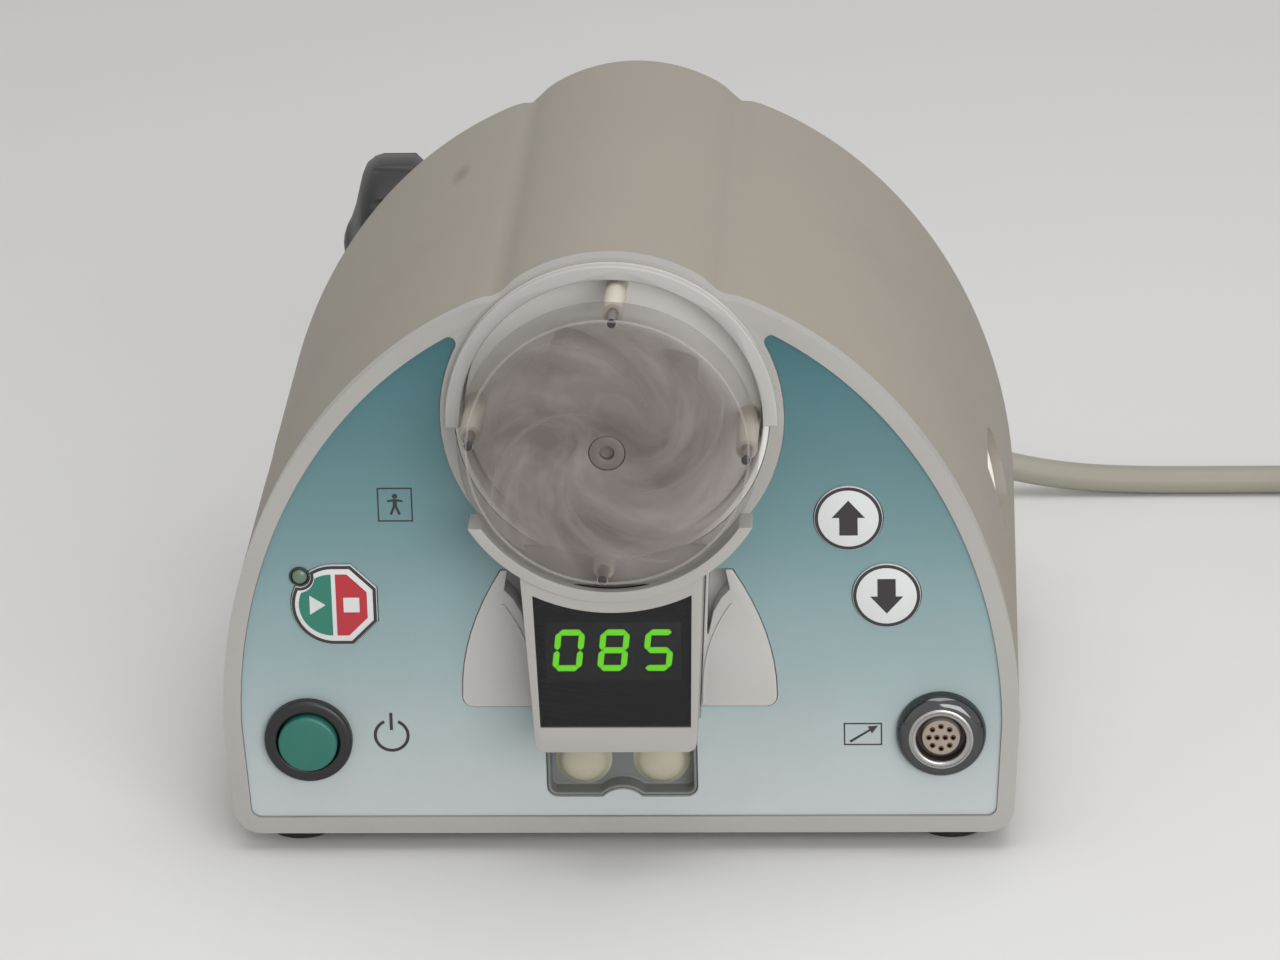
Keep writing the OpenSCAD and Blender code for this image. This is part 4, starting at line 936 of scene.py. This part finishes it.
# %% Sensor tray and domes
DOME_X, DOME_Y, DOME_Z = 11.25, 6.0, 26.5
dressed("sensor_recess", "sensor_tray", "housing", soft_grey, "soft_grey", 0.45, 3)
dome = [(8.2, 0.0), (7.9, 0.25), (7.3, 0.7)] + oval(6.9, 2.6, range(12, 88, 12), 0, 0.9) + [(POINT_R, 3.5)]
for side, name, stands_for in ((-1, "sensor_dome_left", ["sensor_pads"]), (1, "sensor_dome_right", [])):
    piece = turned(name, (DOME_X * side, DOME_Y, DOME_Z), dome, 48, True, False)
    settle(piece, "housing", dome_rubber, "soft_ivory", *stands_for, smooth=60)
print("domes turned")

# %% [markdown]
# The pump head: a thick clear disc with a finely broken edge, four cream rollers on steel pins behind
# it, and a hub with curved lobes that shows through. Everything here rides on the rotor, and each roller
# on its own body, so the head can turn as the real one does.

# %% Pump head
DISC_Y = -28
AXLE_CIRCLE, AXLE_TURN = 38.6, -3.4
dressed("rotor_disc", "clear_disc", "rotor", acrylic, "clear", 0.12, 2, 50)
dressed("rotor_hub", "hub_lobes", "rotor", frosted, "frosted", 0.4)
for i in range(1, 5):
    dressed("roller_%d" % i, "roller_sleeve_%d" % i, "roller_%d" % i, roller_plastic, "ivory", 0.35)
axle_end = [(1.3, 0.0), (1.25, 0.16), (1.0, 0.26), (POINT_R, 0.2)]
for i in range(4):
    a = math.radians(90 * i + AXLE_TURN)
    where = (AXLE_CIRCLE * math.cos(a), DISC_Y, AXIS_Z + AXLE_CIRCLE * math.sin(a))
    piece = turned("axle_end_%d" % (i + 1), where, axle_end, 20, True, False)
    settle(piece, "rotor", ink, "black")
print("disc, hub and rollers dressed")

# %% [markdown]
# The front of the disc has a fine raised bead near its edge and four faint curved bands, which are the
# marks that wiping leaves. A band is an outline between two spirals that meet at both ends. The screw
# in the middle is a dark plastic head.

# %% Bead, swirls and screw of the disc
SWIRL_STEPS = 24


def swirl(start, sweep, r0, r1, width):
    sides = []
    for k in (-0.5, 0.5):
        side = []
        for i in range(SWIRL_STEPS + 1):
            part = i / SWIRL_STEPS
            a = math.radians(start + sweep * part ** 0.8)
            r = r0 + (r1 - r0) * part + k * width * (1 - abs(2 * part - 1) ** 3)
            side.append((r * math.cos(a), r * math.sin(a)))
        sides.append(side)
    return sides[0] + sides[1][-2:0:-1]


bead = [(38.85, 0.0)] + arc(0.38, 170, 10, 8, 39.3, 0.0) + [(39.75, 0.0)]
piece = turned("disc_bead", (0, DISC_Y, AXIS_Z), bead, 96, False, False)
settle(piece, "rotor", bead_acrylic, "clear", smooth=60)
for i in range(4):
    smear = swirl(90 * i + 20, 100, 12, 37.5, 1.7)
    printed("disc_swirl_%d" % (i + 1), [smear], (0, DISC_Y, AXIS_Z), "rotor", swirl_acrylic, "clear", 0.06)
dressed("hub_screw", "hub_screw_head", "rotor", hub_plastic, "steel", 0.3)
print("pump head dressed")

# %% [markdown]
# The display: a black module under the smoked window, with the CAD digits in a glowing finish. The
# real bars are small light guides in a black block, so only the lit ones show through the smoke.

# %% Display
dressed("display_module", "display_block", "housing", black_module, "black", 0.3)
dressed("display_window", "smoked_window", "housing", smoked, "smoke", 0.1, 1)
print("display dressed")

# %% [markdown]
# The rear: a coated metal panel, a cast clamp for a drip stand with a big scalloped knob, the mains
# inlet and the screws. None of it shows from the front except the knob, but the part is seen from all
# sides, so each piece gets its rounded edges too. The outer edge of the rear sheet takes the cover's
# finish, because the cover's lip goes round it.

# %% Rear side and underside
rear = dressed("rear_panel", "rear_sheet", "housing", coated_metal, "coated", 0.35)
rear.data.materials.append(cover_plastic)
for face in rear.data.polygons:
    outward = Vector((face.center.x, 0, face.center.z - 0.06)).normalized()
    on_edge = abs(face.normal.y) < 0.8 and face.normal.dot(outward) > 0.3 and face.center.y > 0.06
    face.material_index = 1 if on_edge else 0
print("faces of the rear sheet's edge:", sum(f.material_index for f in rear.data.polygons))
for node, name, body, finish, slot, width, steps, angle in (
        ("clamp_bracket", "clamp_casting", "housing", cast_alloy, "alloy", 1.0, 3, 40),
        ("clamp_pad", "clamp_pad_cap", "clamp_slider", black_plastic, "black", 0.8, 3, 40),
        ("clamp_knob", "knob_moulding", "clamp_screw", grip_black, "black", 0.9, 3, 30),
        ("mains_inlet", "inlet_moulding", "housing", black_plastic, "black", 0.5, 2, 40),
        ("casing_screws", "screw_heads", "housing", steel, "steel", 0.4, 2, 40),
        ("grip_cup_left", "grip_left", "housing", grip_ivory_painted_light, "ivory", 0.5, 2, 40),
        ("grip_cup_right", "grip_right", "housing", grip_ivory_painted_light, "ivory", 0.5, 2, 40),
        ("rubber_feet", "foot_pads", "housing", foot_rubber, "foot_rubber", 0.8, 3, 40)):
    dressed(node, name, body, finish, slot, width, steps, angle)
print("rear and underside dressed")

# %% [markdown]
# The mains lead with its moulded connector at the pump and its wall plug. The lead is a smooth curve
# through the route with a round bevel for its thickness, so it stays one bendable piece. A strap holds
# the coil together: a flat band drawn around the coil's section, given its width and soft edges.

# %% Mains lead, plugs and tie
def lead_curve(name, points, radius, finish):
    curve = bpy.data.curves.new(name, "CURVE")
    curve.dimensions = "3D"
    curve.bevel_depth = radius
    curve.bevel_resolution = 4
    curve.resolution_u = 4
    curve.use_fill_caps = True
    line = curve.splines.new("BEZIER")
    line.bezier_points.add(len(points) - 1)
    for point, place in zip(line.bezier_points, points):
        point.co = place
        point.handle_left_type = point.handle_right_type = "AUTO"
    curve.materials.append(finish)
    piece = bpy.data.objects.new(name, curve)
    bpy.context.scene.collection.objects.link(piece)
    return piece


BAND_IN, BAND_OUT = COIL_R - 2 * COIL_STEP - ON_TABLE, COIL_R + ON_TABLE
BAND_LOW, BAND_TOP, BAND_R, BAND_THICK = 1.2, 38.5, 5, 1.1


def band(grow):
    left, right, low, top = BAND_IN + BAND_R, BAND_OUT - BAND_R, BAND_LOW + BAND_R, BAND_TOP - BAND_R
    corners = ((right, top, 0), (left, top, 90), (left, low, 180), (right, low, 270))
    return [p for u, v, a in corners for p in arc(BAND_R + grow, a, a + 90, 8, u, v)]


lead = lead_curve("mains_lead", route, LEAD_R / 1000, lead_sheath)
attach(lead, "housing")
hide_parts("mains_cord", "cord_coil", "cord_tail")
connector = dressed("cord_connector", "lead_connector", "housing", black_plastic, "black", 1.0, 3)
plug = dressed("mains_plug", "lead_plug", "housing", black_plastic, "black", 1.0, 3)
loops = [band(BAND_THICK), band(0)]
tie = printed("coil_tie", loops, (COIL_X, COIL_Y, 0), "housing", tie_strap, "black", 9.0, 225)
round_all(tie, 0.35)
print("lead laid")

# %% [markdown]
# The solids that stay as they are get the finish of what they are made of: printed film for the panel,
# lit bars for the digits, steel for shafts and screws, bronze for bearings, green laminate for boards.

# %% Finishes for the remaining solids
made_of = (
    (film, ["panel_overlay"]),
    (lit_green, ["display_digits"]),
    (zinc, ["base_plate", "drive_motor", "gear_plate", "power_supply"]),
    (bronze, ["front_bearing", "rear_bearing"]),
    (back_plastic_painted_light, ["rotor_back_plate"]),
    (nylon, ["drive_gear"]),
    (board_green, ["key_boards", "control_board"]),
    (winding, ["transformer"]),
    (steel, ["roller_axles", "rotor_shaft", "motor_pinion", "standoffs", "motor_screws", "panel_nuts",
             "clamp_bolts", "clamp_screw"]),
)
finished = [node for finish, nodes in made_of for node in nodes]
for finish, nodes in made_of:
    for node in nodes:
        solids[node].data.materials.clear()
        solids[node].data.materials.append(finish)
hidden = [n for n, o in solids.items() if o.hide_render]
left = [n for n in solids if n not in hidden and n not in finished]
print("solids replaced:", len(hidden), "finished:", len(finished), "without a finish:", left)
